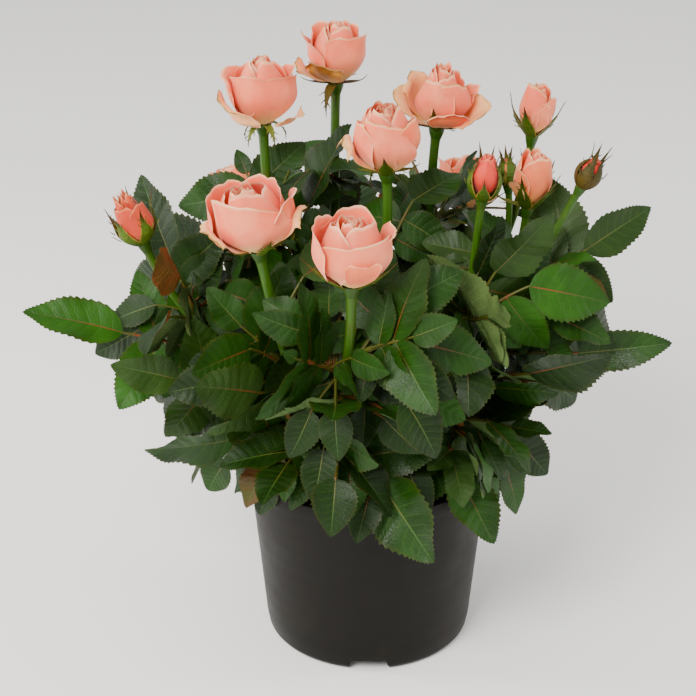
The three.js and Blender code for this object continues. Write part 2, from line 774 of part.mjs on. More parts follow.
// Grows the leaves of every mass in turn. Leaves that would touch a limb, a bloom, the pot or another leaf try
// another place, and are left out if none is free.
function growLeaves(fixed, shoots) {
  const taken = [...fixed, ...shoots.map(boxed)];
  const kept = MASSES.map(() => []);
  const mostLeaves = Math.max(...MASSES.map(({ leaves }) => leaves));
  for (let turn = 0; turn < mostLeaves; turn++)
    MASSES.forEach((mass, massIndex) => {
      const leafIndex = mass.leaves - 1 - turn; // the end leaf first, then inwards
      if (leafIndex < 0) return;
      const others = taken.filter((_, i) => i !== fixed.length + massIndex);
      let best = null;
      for (let attempt = 0; attempt < TRIES; attempt++) {
        const plan = leafPlan(massIndex, leafIndex, attempt);
        if (!isClear(boxed(stalkSolid(plan, GAP)), others)) continue;
        const clear = plan.leaflets.filter(
          (leaflet) => isInOwnSpace(leaflet, massIndex) && isClear(boxed(leafletSolid(leaflet, 2 * GAP)), others),
        );
        if (!clear.includes(plan.leaflets[0])) continue;
        if (!best || clear.length > best.leaflets.length) best = { ...plan, leaflets: clear };
        if (best.leaflets.length === plan.leaflets.length) break;
      }
      if (!best || best.leaflets.length < 2) return;
      const solids = [stalkSolid(best), ...best.leaflets.map((leaflet) => leafletSolid(leaflet))];
      kept[massIndex].push(...solids);
      taken.push(...solids.map(boxed));
    });
  return kept;
}

// ---------- Assembly ----------

const group = new THREE.Group();

function addNode(name, solid, finish) {
  const mesh = new THREE.Mesh(geometryFrom(solid), new THREE.MeshStandardMaterial(COLOURS[finish]));
  mesh.name = name;
  group.add(mesh);
}

const pot = potSolid();
const compost = compostSolid();
const stumps = STUMPS.map((_, i) => stumpSolid(i));
const blooms = FLOWERS.map(bloomSolid);
const stems = FLOWERS.map(stemSolid);

const shoots = MASSES.map((mass, i) => {
  const parent = parentOf(mass);
  const grownParent = limbSolid(flowerPaths[parent], stemStations(FLOWERS[parent]), STEM.sides, GAP);
  const shoot = limbSolid(shootPaths[i], taper(SHOOT.footRadius, SHOOT.tipRadius, SHOOT.steps), 3);
  return shoot.subtract(grownParent);
});
const fixed = [pot, compost, ...stumps, ...stems, ...blooms].map(boxed);
const leaves = growLeaves(fixed, shoots);

addNode("pot", pot, "pot");
addNode("compost", compost, "compost");
STUMPS.forEach(({ name }, i) => addNode(name, stumps[i], "bark"));
FLOWERS.forEach(({ name, kind }, i) => {
  addNode("flower_stem_" + name, stems[i], "stem");
  addNode(kind === "bud" ? "bud_" + name : "bloom_" + name, blooms[i], kind === "bud" ? "bud" : "bloom");
});
MASSES.forEach(({ name }, i) => addNode("foliage_" + name, joined([shoots[i], ...leaves[i]]), "leaf"));

export default group;
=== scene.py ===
import json
import logging
import math
from dataclasses import dataclass, field
from enum import Enum
from typing import Iterable, Sequence

import bmesh
import bpy
import numpy as np
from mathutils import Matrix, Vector, kdtree, noise
from mathutils.bvhtree import BVHTree

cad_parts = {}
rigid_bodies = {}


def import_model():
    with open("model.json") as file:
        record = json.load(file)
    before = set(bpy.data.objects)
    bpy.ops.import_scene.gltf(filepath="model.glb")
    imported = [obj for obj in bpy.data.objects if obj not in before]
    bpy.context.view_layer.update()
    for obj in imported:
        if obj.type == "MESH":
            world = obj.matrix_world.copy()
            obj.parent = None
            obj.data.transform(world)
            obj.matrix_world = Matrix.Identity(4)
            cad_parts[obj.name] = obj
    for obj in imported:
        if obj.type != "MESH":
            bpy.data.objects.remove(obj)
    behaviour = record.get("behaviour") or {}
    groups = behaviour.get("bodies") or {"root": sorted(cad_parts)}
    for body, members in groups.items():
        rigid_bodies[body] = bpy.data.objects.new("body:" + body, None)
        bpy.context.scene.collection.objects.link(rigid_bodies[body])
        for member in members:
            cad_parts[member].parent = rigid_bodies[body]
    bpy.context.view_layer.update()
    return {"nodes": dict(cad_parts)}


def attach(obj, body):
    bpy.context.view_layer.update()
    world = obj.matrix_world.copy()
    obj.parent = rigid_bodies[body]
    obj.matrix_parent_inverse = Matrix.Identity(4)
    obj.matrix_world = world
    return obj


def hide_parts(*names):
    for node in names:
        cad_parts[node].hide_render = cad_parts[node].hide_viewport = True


Array, Piece, Material, Socket = np.ndarray, bpy.types.Object, bpy.types.Material, bpy.types.NodeSocket
Node, Tree = bpy.types.Node, bpy.types.NodeTree
Triple, Pair = tuple[float, float, float], tuple[float, float]
Shape, Planes = tuple[Array, Array, BVHTree], tuple[Array, Array]
LOG = logging.getLogger("rose_bush")
MM = 0.001
GAP = 0.3
COMPOST_TOP = 90.0
STUMP_LENGTH = 40
HIP_LENGTH = 6.5
UP = np.array([0.0, 0.0, 1.0])
GOLDEN_TURN = math.pi * (3 - math.sqrt(5))


# ---------- Numbers, directions and paths ----------


class SeededRandom:
    """A repeatable stream of numbers from 0 to 1."""

    def __init__(self, seed: int) -> None:
        """Starts the stream at a seed."""
        self.state = (seed * 2654435761) % 4294967296

    def __call__(self, low: float = 0, high: float = 1) -> float:
        """The next number, spread evenly from low to high."""
        self.state = (self.state * 1664525 + 1013904223) % 4294967296
        return low + (high - low) * (self.state / 4294967296)


def vec(*values: float) -> Array:
    """A point or direction."""
    return np.array(values, float)


def unit(direction: Array) -> Array:
    """The same direction with length one."""
    return direction / max(float(np.linalg.norm(direction)), 1e-12)


def mix(low: float, high: float, share: float) -> float:
    """The number that lies a share of the way from low to high."""
    return low + (high - low) * share


def srgb(red: int, green: int, blue: int) -> tuple[float, ...]:
    """An 8-bit display colour as the linear colour that a shader takes."""
    linear = [c / 12.92 if c <= 0.04045 else ((c + 0.055) / 1.055) ** 2.4
        for c in (red / 255, green / 255, blue / 255)]
    return (*linear, 1.0)


@dataclass(frozen=True)
class BezierPath:
    """A Bezier path of three or four knots, in millimetres."""

    knots: tuple[Array, ...]

    def point(self, share: float) -> Array:
        """The point at a share of the parameter range."""
        level = list(self.knots)
        while len(level) > 1:
            level = [a + (b - a) * share for a, b in zip(level, level[1:])]
        return level[0]

    def tangent(self, share: float) -> Array:
        """The unit direction of travel at a share of the parameter range."""
        return unit(self.point(min(1, share + 1e-4)) - self.point(max(0, share - 1e-4)))

    def points(self, count: int) -> Array:
        """Points at even steps of the parameter."""
        return np.array([self.point(share) for share in np.linspace(0, 1, count)])


def limb_path(foot: Array, leaving: Array, end: Array, arriving: Array, spring: float) -> BezierPath:
    """The path of a limb.

    Args:
        foot: Where it starts.
        leaving: The direction in which it leaves its foot.
        end: Where it ends.
        arriving: The direction in which it arrives there.
        spring: How far it keeps each direction, as a share of its span.

    Returns:
        The path.
    """
    reach = float(np.linalg.norm(end - foot)) * spring
    return BezierPath((foot, foot + leaving * reach, end - arriving * reach, end))


# ---------- What grows where, by the rule of the solids ----------


class FlowerKind(Enum):
    """How far a flower has opened."""

    BLOOM, OPENING, BUD = range(3)


@dataclass(frozen=True)
class FlowerPlan:
    """One flower: where it sits, how it leans, its size and its stage."""

    name: str
    stump: int
    at: float
    seat: Triple
    lean: Pair
    size: Pair
    kind: FlowerKind

    @property
    def axis(self) -> Array:
        """The unit direction that the flower looks in."""
        return unit(vec(*self.lean, 1))

    @property
    def hip(self) -> float:
        """The radius of the swelling under the flower, in millimetres."""
        return 4 * (0.55 + 0.45 * min(1, self.size[0] / 34))

    @property
    def node(self) -> str:
        """The name of the flower's own solid."""
        return ("bud_" if self.kind is FlowerKind.BUD else "bloom_") + self.name

    def place(self, local: Array) -> Array:
        """Turns points on the flower's own axes into points on the plant's.

        Args:
            local: Points with the seat as origin and the axis as z, in millimetres.

        Returns:
            The same points in the plant's frame.
        """
        axis = self.axis
        cross = np.cross(UP, axis)
        skew = np.array([[0, -cross[2], cross[1]], [cross[2], 0, -cross[0]], [-cross[1], cross[0], 0]])
        turned = np.eye(3) + skew + skew @ skew / (1 + axis[2])
        return local @ turned.T + vec(*self.seat)


@dataclass(frozen=True)
class MassPlan:
    """One mass of leaves: the flower stem that bears it, its furthest tip and its habit."""

    name: str
    parent: str
    at: float
    reach: Triple
    leaves: int
    size: float
    turn: float


@dataclass
class LeafletPlan:
    """Where one leaflet goes, and its size."""

    foot: Array
    forward: Array
    normal: Array
    length: float
    width: float
    seed: int = 0
    keeps_reach: bool = False

    @property
    def tip(self) -> Array:
        """The tip of the leaflet's solid."""
        side = unit(np.cross(self.forward, self.normal))
        face = unit(np.cross(side, self.forward))
        return self.foot + self.forward * self.length - face * 0.08 * (self.length + 0.35)


@dataclass
class LeafPlan:
    """One compound leaf: its stalk, its leaflets and how high in the crown it stands."""

    stalk: BezierPath
    size: float
    leaflets: list[LeafletPlan]
    seed: int = 0


B, O, D = FlowerKind
FLOWERS = [FlowerPlan(*row) for row in (
    ("front", 0, 0.9, (-9, -75, 227), (0, 0), (39, 32), B),
    ("front_left", 0, 0.62, (-52, -49, 233), (-0.2, -0.04), (42, 31), B),
    ("left", 0, 0.34, (-109, -9, 219), (-0.38, -0.04), (19, 27), O),
    ("middle", 1, 0.95, (8, 0, 252), (-0.04, -0.02), (35, 31), B),
    ("right_front", 1, 0.78, (53, -15, 245), (0.1, -0.02), (16, 22), D),
    ("right", 1, 0.53, (77, 13, 228), (0.12, 0.02), (19, 29), O),
    ("far_right", 1, 0.2, (102, 2, 244), (0.5, 0), (12.5, 17), D),
    ("back_left", 2, 0.66, (-52, 35, 263), (-0.03, 0.02), (34, 31), B),
    ("top", 2, 0.95, (-16.5, 60, 275), (0.02, 0.04), (30, 29), B),
    ("rear_left", 2, 0.36, (-66, 92, 186), (-0.3, 0.4), (38, 30), B),
    ("back_right", 3, 0.92, (33.5, 45, 257), (0.1, 0.02), (30, 31), B),
    ("right_tall", 3, 0.66, (81, 50, 251), (0.1, 0.04), (19, 27), O),
    ("small", 3, 0.2, (69, 41, 229), (-0.1, 0), (10, 14), D),
    ("rear_right", 3, 0.47, (50, 97, 190), (0.2, 0.45), (35, 29), B),
)]
MASSES = [MassPlan(*row) for row in (
    ("left_far", "left", 0.5, (-166, -20, 191), 4, 1, 0.6),
    ("left_mid", "left", 0.3, (-130, -46, 174), 5, 0.9, 2.4),
    ("left_upper", "left", 0.66, (-114, 22, 240), 4, 0.95, 0.2),
    ("left_low", "left", 0.16, (-108, -50, 123), 5, 1.05, 1.5),
    ("heart_left", "front_left", 0.42, (-78, -34, 205), 5, 0.95, 0.4),
    ("front_left", "front_left", 0.3, (-77, -89, 183), 5, 0.95, 2.9),
    ("front_left_low", "front_left", 0.14, (-52, -86, 120), 5, 0.9, 0.3),
    ("heart_front_left", "front", 0.5, (-40, -84, 197), 5, 0.9, 1.9),
    ("front_centre", "front", 0.3, (-17, -111, 180), 6, 0.85, 1.2),
    ("front_low", "front", 0.14, (29, -89, 88), 7, 1, 3.3),
    ("heart_front_right", "front", 0.64, (38, -86, 214), 4, 0.95, 0.5),
    ("front_right_low", "right_front", 0.12, (59, -67, 85), 7, 1.05, 0.8),
    ("front_right", "right_front", 0.5, (70, -84, 222), 5, 1, 2.1),
    ("right_mid", "far_right", 0.32, (110, -60, 181), 5, 1, 0.1),
    ("right_low", "far_right", 0.2, (88, -38, 130), 5, 0.95, 2.7),
    ("right_far", "far_right", 0.42, (147, -20, 168), 5, 0.95, 1.9),
    ("right_upper", "far_right", 0.66, (139, 22, 224), 4, 1, 0.5),
    ("top_centre", "back_left", 0.5, (-13, 36, 264), 4, 0.95, 3.6),
    ("top_right", "back_right", 0.6, (54, 62, 238), 5, 0.95, 1.4),
    ("top_left", "back_left", 0.62, (-66, 58, 240), 5, 0.95, 2.6),
    ("heart_right", "right", 0.5, (94, 38, 202), 5, 0.95, 1.3),
    ("rear_left", "back_left", 0.3, (-118, 74, 196), 5, 1.05, 0.9),
    ("rear", "top", 0.36, (-8, 132, 200), 5, 1, 1.7),
    ("rear_right", "right_tall", 0.36, (116, 84, 190), 5, 1.05, 2.3),
    ("rear_low_left", "rear_left", 0.2, (-62, 96, 112), 6, 1, 0.7),
    ("rear_low_right", "rear_right", 0.2, (66, 94, 114), 6, 1, 3.1),
)]


@dataclass(frozen=True)
class LeafHabit:
    """The sizes and angles by which every compound leaf grows, in millimetres and radians."""

    stalk: float = 44
    shortest_stalk: float = 24
    droop: float = 0.16
    first_at: float = 0.3
    last_at: float = 0.88
    leaving: float = 1.05
    spread: float = 1.2
    stagger: float = 0.025
    hang: float = 0.45
    end: Pair = (49, 32)
    pairs: tuple[Triple, ...] = ((0.58, 40, 25), (0.24, 30, 19))
    slimmest: float = 0.6
    end_leaf: float = 101 * 1.03
    same_tip: float = 0.3
    heart: Triple = (0, 0, 150)
    tries: int = 30


class GrowthRule:
    """Gives the paths of stumps, stems and shoots, and the place of every leaf of the solids."""

    def __init__(self, habit: LeafHabit) -> None:
        """Works out the limbs' paths.

        Args:
            habit: The leaf habit.
        """
        self.habit = habit
        self.stumps = [self._stump(*row) for row in (
            ((-15, -13), (-0.12, -0.1)), ((16, -12), (0.14, -0.08)), ((-14, 14), (-0.1, 0.12)),
            ((16, 15), (0.12, 0.12)))]
        self.stems = {flower.name: self._stem(flower) for flower in FLOWERS}
        self.shoots = [self._shoot(mass) for mass in MASSES]

    def _stump(self, foot: Pair, lean: Pair) -> BezierPath:
        """The path of one woody stump."""
        base, leaning = vec(*foot, COMPOST_TOP + GAP), unit(vec(*lean, 1))
        return limb_path(base, UP, base + leaning * STUMP_LENGTH, leaning, 1 / 3)

    def _stem(self, flower: FlowerPlan) -> BezierPath:
        """The path of one flower stem, from its stump to the foot of its hip."""
        foot = self.stumps[flower.stump].point(flower.at)
        end = vec(*flower.seat) - flower.axis * (HIP_LENGTH + GAP)
        away = unit((end - foot) * vec(1, 1, 0))
        return limb_path(foot, unit(away + UP * 1.1), end, flower.axis, 0.34)

    def _shoot(self, mass: MassPlan) -> BezierPath:
        """The path of one leafy shoot."""
        foot, reach = self.stems[mass.parent].point(mass.at), vec(*mass.reach)
        towards = unit(reach - foot)
        length = max(14, float(np.linalg.norm(reach - foot)) - self.habit.end_leaf * mass.size)
        end = foot + towards * length + UP * (length * 0.12)
        return limb_path(foot, unit(towards + UP * 0.35), end, unit(reach - end), 0.35)

    def leaf(self, mass_index: int, leaf_index: int, attempt: int) -> LeafPlan:
        """Where one leaf of a mass goes at one of its tries.

        Args:
            mass_index: Which mass.
            leaf_index: Which leaf along its shoot, the last one being its end leaf.
            attempt: Which try.

        Returns:
            The leaf's plan with all its leaflets.
        """
        mass, habit, path = MASSES[mass_index], self.habit, self.shoots[mass_index]
        random = SeededRandom(1 + mass_index * 997 + leaf_index * 89 + attempt * 13)
        is_end = leaf_index == mass.leaves - 1
        share = leaf_index / max(1, mass.leaves - 2)
        at = 0.95 if is_end else mix(habit.first_at, habit.last_at, share)
        loose = min(1, attempt / 6)
        spin = mass.turn + leaf_index * GOLDEN_TURN + (random() - 0.5) * (0.6 + 6 * loose)
        opening = 0.0 if is_end else habit.leaving + (random() - 0.5) * (0.5 + 0.6 * loose)
        size = mass.size * (1 if is_end else 0.84 + 0.26 * random() - 0.2 * loose)
        return self.compound_leaf(path, at, spin, opening, size, random, vec(*mass.reach) if is_end else None)

    def compound_leaf(self, path: BezierPath, at: float, spin: float, opening: float, size: float,
            random: SeededRandom, reach: Array | None, pairs: int = 1) -> LeafPlan:
        """One compound leaf that leaves a limb.

        Args:
            path: The limb.
            at: How far along it the leaf stands.
            spin: The turn round the limb in which it leaves.
            opening: The angle by which it leaves the limb's line.
            size: The leaf's size, one being full size.
            random: Its stream of numbers.
            reach: The point that its end leaflet ends at, for the end leaf of a shoot.
            pairs: How many pairs of side leaflets it has where it isn't an end leaf.

        Returns:
            The leaf's plan.
        """
        habit = self.habit
        foot, along = path.point(at), path.tangent(at)
        across = unit(np.cross(along, UP))
        over = np.cross(across, along)
        ahead = along
        if reach is not None:
            ahead = unit(along + (unit(reach - foot) - along) * 0.6)
        heading = unit(ahead * math.cos(opening) + across * (math.sin(opening) * math.cos(spin))
            + over * (math.sin(opening) * math.sin(spin)))
        outward = unit(foot - vec(*habit.heart))
        length = habit.stalk * size
        if reach is not None:
            length = max(habit.shortest_stalk, float(np.linalg.norm(foot - reach)) - habit.end[0] * size)
        tip = foot + heading * length - UP * (habit.droop * length * (1 if reach is None else 0.3))
        stalk = BezierPath((foot, foot + heading * (length / 2), tip))
        facing = UP * 0.55 + outward + vec(0, -0.6 if foot[1] < 45 else 0, 0)
        facing = facing + vec(random() - 0.5, random() - 0.5, random() - 0.5) * 0.5
        hang = habit.hang * (0.6 + 0.8 * random()) if reach is None else 0.1
        leaflets: list[LeafletPlan] = []

        def add(place: float, turn: float, part: Pair, roll: float) -> None:
            """Adds the leaflet that leaves the stalk at a place, turned to one side and rolled."""
            onwards = stalk.tangent(place)
            side = unit(np.cross(onwards, facing))
            face = np.cross(side, onwards)
            forward = unit(onwards * math.cos(turn) + side * math.sin(turn) - UP * hang)
            grown = size * (0.92 + 0.16 * random())
            leaflets.append(LeafletPlan(stalk.point(place), forward, unit(face + side * roll),
                part[0] * grown, part[1] * grown))

        add(1, 0, habit.end, 0.2 * (random() - 0.5))
        if reach is not None:
            first = leaflets[0]
            to_reach = reach - first.foot
            first.length = float(np.linalg.norm(to_reach))
            first.width = min(first.width, habit.slimmest * first.length)
            first.forward, first.keeps_reach = unit(to_reach), True
        for place, *part in habit.pairs[: pairs if reach is None else 2]:
            for hand in (1, -1):
                turn = hand * (habit.spread + 0.2 * (random() - 0.5))
                add(place + hand * habit.stagger, turn, part, hand * (0.1 + 0.35 * random()))
        return LeafPlan(stalk, size, leaflets)

    def leaves_of(self, mass_index: int, corners: Array) -> list[LeafPlan]:
        """The leaves that a mass's solid has: each leaf's try whose leaflet tips are corners of the solid.

        Args:
            mass_index: Which mass.
            corners: The corners of its solid, in millimetres.

        Returns:
            The plans of its leaves, each with only the leaflets that the solid has.
        """
        tree = kdtree.KDTree(len(corners))
        for index, corner in enumerate(corners):
            tree.insert(corner, index)
        tree.balance()
        found = []
        for leaf_index in range(MASSES[mass_index].leaves):
            best: LeafPlan | None = None
            for attempt in range(self.habit.tries):
                plan = self.leaf(mass_index, leaf_index, attempt)
                kept = [leaflet for leaflet in plan.leaflets
                    if tree.find(leaflet.tip)[2] < self.habit.same_tip]
                more = best is None or len(kept) > len(best.leaflets)
                if len(kept) > 1 and kept[0] is plan.leaflets[0] and more:
                    best = LeafPlan(plan.stalk, plan.size, kept, seed=mass_index * 31 + leaf_index * 7 + 1)
            if best:
                found.append(best)
        return found


# ---------- Meshes ----------


def around(sides: int) -> Array:
    """Even turns all round, one for each side."""
    return np.arange(sides) * 2 * math.pi / sides


def ring_faces(steps: int, sides: int) -> Array:
    """The four-cornered faces between rings of points, numbered one ring after another.

    Args:
        steps: How many steps between rings.
        sides: How many points each ring has.

    Returns:
        Point numbers, a row for each face.
    """
    row, column = [part.ravel() for part in np.meshgrid(np.arange(steps), np.arange(sides), indexing="ij")]
    here, after = row * sides + column, row * sides + (column + 1) % sides
    return np.stack([here, after, after + sides, here + sides], 1)


def cells(grid: Array) -> Array:
    """The four corners of every cell of a grid, all the way round."""
    return np.stack([grid[:-1, :-1], grid[:-1, 1:], grid[1:, 1:], grid[1:, :-1]], 2)


def cap_faces(steps: int, sides: int) -> Array:
    """The fans that close the first and the last ring, round two points that are numbered last.

    Args:
        steps: How many steps between rings.
        sides: How many points each ring has.

    Returns:
        Point numbers, a row for each face.
    """
    ring, foot = np.arange(sides), np.full(sides, (steps + 1) * sides)
    after, last = (ring + 1) % sides, steps * sides
    return np.concatenate([np.stack([foot, after, ring], 1),
        np.stack([foot + 1, ring + last, after + last], 1)])


class MeshWriter:
    """Collects grids, tubes and fans of faces in millimetres, and writes them as one mesh piece in metres."""

    def __init__(self) -> None:
        """Starts with no faces."""
        self.points: list[Array] = []
        self.corners: list[Array] = []
        self.totals: list[Array] = []
        self.uvs: list[Array] = []
        self.slots: list[Array] = []
        self.count = 0
        self.triangles = 0

    def add(self, points: Array, faces: Array, uvs: Array | None = None, slots: int | Array = 0) -> None:
        """Adds faces that all have the same number of corners.

        Args:
            points: The points, in millimetres.
            faces: Point numbers, a row for each face.
            uvs: Pattern coordinates, a pair for each corner of each face, or nothing.
            slots: The material slot, one for all or one for each face.
        """
        self.link(faces, uvs, slots, self.count)
        self.points.append(points)
        self.count += len(points)

    def link(self, faces: Array, uvs: Array | None, slots: int | Array, base: int) -> None:
        """Adds faces over points that are there already, numbered from a base.

        Args:
            faces: Point numbers, a row for each face.
            uvs: Pattern coordinates, a pair for each corner, or nothing.
            slots: The material slot, one for all or one for each face.
            base: The number of the first point.
        """
        faces = np.asarray(faces, int)
        self.corners.append((faces + base).ravel())
        self.totals.append(np.full(len(faces), faces.shape[1]))
        self.uvs.append(np.zeros((faces.size, 2)) if uvs is None else np.asarray(uvs, float).reshape(-1, 2))
        self.slots.append(np.broadcast_to(np.asarray(slots, int), len(faces)))
        self.triangles += len(faces) * (faces.shape[1] - 2)

    def tube(self, path: Array, radii: Array, sides: int, slot: int = 0, relief: Array | None = None,
            end_slot: int | None = None) -> None:
        """Adds a closed tube along a path.

        Args:
            path: The middle of each ring, in millimetres.
            radii: The radius of each ring.
            sides: How many sides it has.
            slot: The material slot of its wall.
            relief: Factors on the radius, a row for each ring and a column for each side.
            end_slot: The material slot of its ends, where it is another one.
        """
        along = np.gradient(path, axis=0)
        along /= np.linalg.norm(along, axis=1)[:, None]
        turns, rings = around(sides), []
        side = unit(np.cross(along[0], UP if abs(along[0][2]) < 0.9 else vec(1, 0, 0)))
        for index, (middle, ahead, radius) in enumerate(zip(path, along, radii)):
            side = unit(side - ahead * side.dot(ahead))
            over = np.cross(ahead, side)
            reach = radius * (relief[index] if relief is not None else np.ones(sides))
            rings.append(middle + (np.cos(turns) * reach)[:, None] * side
                + (np.sin(turns) * reach)[:, None] * over)
        steps = len(path) - 1
        points = np.concatenate([*rings, [path[0]], [path[-1]]])
        faces = ring_faces(steps, sides)
        row, u = faces[:, 0] // sides, faces[:, 0] % sides / sides
        v = np.concatenate([[0], np.cumsum(np.linalg.norm(np.diff(path, axis=0), axis=1))]) / 10
        uvs = np.stack([np.stack([u + (corner in (1, 2)) / sides, v[row + corner // 2]], 1)
            for corner in range(4)], 1)
        base = self.count
        self.add(points, faces, uvs, slot)
        flat = np.stack([np.cos(turns), np.sin(turns)], 1) * 0.5 + 0.5
        fan = np.stack([np.full((sides, 2), 0.5), flat, np.roll(flat, -1, 0)], 1)
        self.link(cap_faces(steps, sides), np.concatenate([fan[:, [0, 2, 1]], fan]),
            slot if end_slot is None else end_slot, base)

    def shell(self, upper: Array, lower: Array, u: Array, v: Array, slots: tuple[int, int],
            upper_slots: Array | None = None, pinch: bool = True) -> None:
        """Adds a thin closed shell: two faces that meet along their rim.

        Args:
            upper: The upper face's points, rows by columns by three.
            lower: The lower face's points, of the same shape, its rim being left out.
            u: Pattern coordinates across, rows by columns.
            v: Pattern coordinates along, rows by columns.
            slots: The material slots of the upper and the lower face.
            upper_slots: The upper face's slot for each column of faces, where they differ.
            pinch: Whether each end row is one point.
        """
        rows, columns = u.shape
        number = np.arange(rows * columns).reshape(rows, columns)
        inner = np.zeros((rows, columns), bool)
        inner[1:-1, 1:-1] = True
        under = number.copy()
        under[inner] = rows * columns + np.arange(inner.sum())
        if pinch:
            for end in (0, -1):
                number[end], under[end] = number[end, 0], number[end, 0]
        points = np.concatenate([upper.reshape(-1, 3), lower[inner]])
        base, used = self.count, np.unique(np.concatenate([number.ravel(), under.ravel()]))
        renumber = np.full(len(points), -1)
        renumber[used] = np.arange(len(used))
        number, under = renumber[number], renumber[under]
        self.points.append(points[used])
        self.count += len(used)
        flat = np.stack([u, v], 2)
        for grid, slot, flip in ((number, slots[0], False), (under, slots[1], True)):
            face, uv = cells(grid), cells(flat)
            per_face = np.broadcast_to(slot if flip or upper_slots is None else upper_slots, face.shape[:2])
            if flip:
                face, uv = face[:, :, [0, 3, 2, 1]], uv[:, :, [0, 3, 2, 1]]
            if pinch:
                first = [0, 1, 2] if flip else [0, 2, 3]
                last = [0, 1, 3] if flip else [0, 1, 2]
                self.link(face[0][:, first], uv[0][:, first], per_face[0], base)
                self.link(face[-1][:, last], uv[-1][:, last], per_face[-1], base)
                face, uv, per_face = face[1:-1], uv[1:-1], per_face[1:-1]
            self.link(face.reshape(-1, 4), uv.reshape(-1, 4, 2), per_face.ravel(), base)

    def piece(self, name: str, materials: Sequence[Material], sharp: float = 70) -> Piece:
        """Writes what was collected as one object.

        Args:
            name: The object's name.
            materials: Its material slots.
            sharp: The angle in degrees past which an edge stays sharp.

        Returns:
            The object, linked to the scene.
        """
        points, corners = np.concatenate(self.points) * MM, np.concatenate(self.corners)
        totals = np.concatenate(self.totals)
        mesh = bpy.data.meshes.new(name)
        mesh.vertices.add(len(points))
        mesh.vertices.foreach_set("co", points.astype(np.float32).ravel())
        mesh.loops.add(len(corners))
        mesh.loops.foreach_set("vertex_index", corners.astype(np.int32))
        mesh.polygons.add(len(totals))
        mesh.polygons.foreach_set("loop_start",
            np.concatenate([[0], np.cumsum(totals)[:-1]]).astype(np.int32))
        mesh.polygons.foreach_set("material_index", np.concatenate(self.slots).astype(np.int32))
        layer = mesh.uv_layers.new(name="growth")
        layer.data.foreach_set("uv", np.concatenate(self.uvs).astype(np.float32).ravel())
        mesh.update(calc_edges=True)
        mesh.validate()
        mesh.shade_smooth()
        mesh.set_sharp_from_angle(angle=math.radians(sharp))
        for material in materials:
            mesh.materials.append(material)
        return placed(name, mesh)


def placed(name: str, data: bpy.types.ID) -> Piece:
    """A new object in the scene with the data that it shows."""
    made = bpy.data.objects.new(name, data)
    bpy.context.scene.collection.objects.link(made)
    return made


def settle(piece: Piece, slot: str, *nodes: str) -> Piece:
    """Hands a finished piece over to the frame.

    Args:
        piece: The piece.
        slot: The record's material slot that it stands for; not used.
        nodes: The solids that it stands for.

    Returns:
        The piece.
    """
    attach(piece, "root")
    if nodes:
        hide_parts(*nodes)
    LOG.info("%s: %d faces, %d nodes replaced", piece.name, len(piece.data.polygons), len(nodes))
    return piece


def baked(piece: Piece, name: str) -> Piece:
    """Turns an object with live modifiers into a plain mesh object.

    Args:
        piece: The object, which is removed.
        name: The new object's name.

    Returns:
        The plain object.
    """
    graph = bpy.context.evaluated_depsgraph_get()
    mesh = bpy.data.meshes.new_from_object(piece.evaluated_get(graph), depsgraph=graph)
    bpy.data.objects.remove(piece)
    return placed(name, mesh)


# ---------- Node trees ----------


class NodePlan:
    """Adds nodes to a tree and links them in one call."""

    prefix = "ShaderNode"

    def __init__(self, tree: Tree) -> None:
        """Works on a tree."""
        self.tree = tree

    def node(self, kind: str, inputs: dict | None = None, **settings: object) -> Node:
        """Adds one node.

        Args:
            kind: The node's kind, without its prefix.
            inputs: A value, or an output to link, for each input's name or number.
            settings: The node's own properties.

        Returns:
            The node.
        """
        made = self.tree.nodes.new(kind if kind.startswith(("ShaderNode", "FunctionNode"))
            else self.prefix + kind)
        for name, value in settings.items():
            setattr(made, name, value)
        for key, value in (inputs or {}).items():
            if isinstance(value, Socket):
                self.tree.links.new(value, made.inputs[key])
            else:
                made.inputs[key].default_value = value
        return made


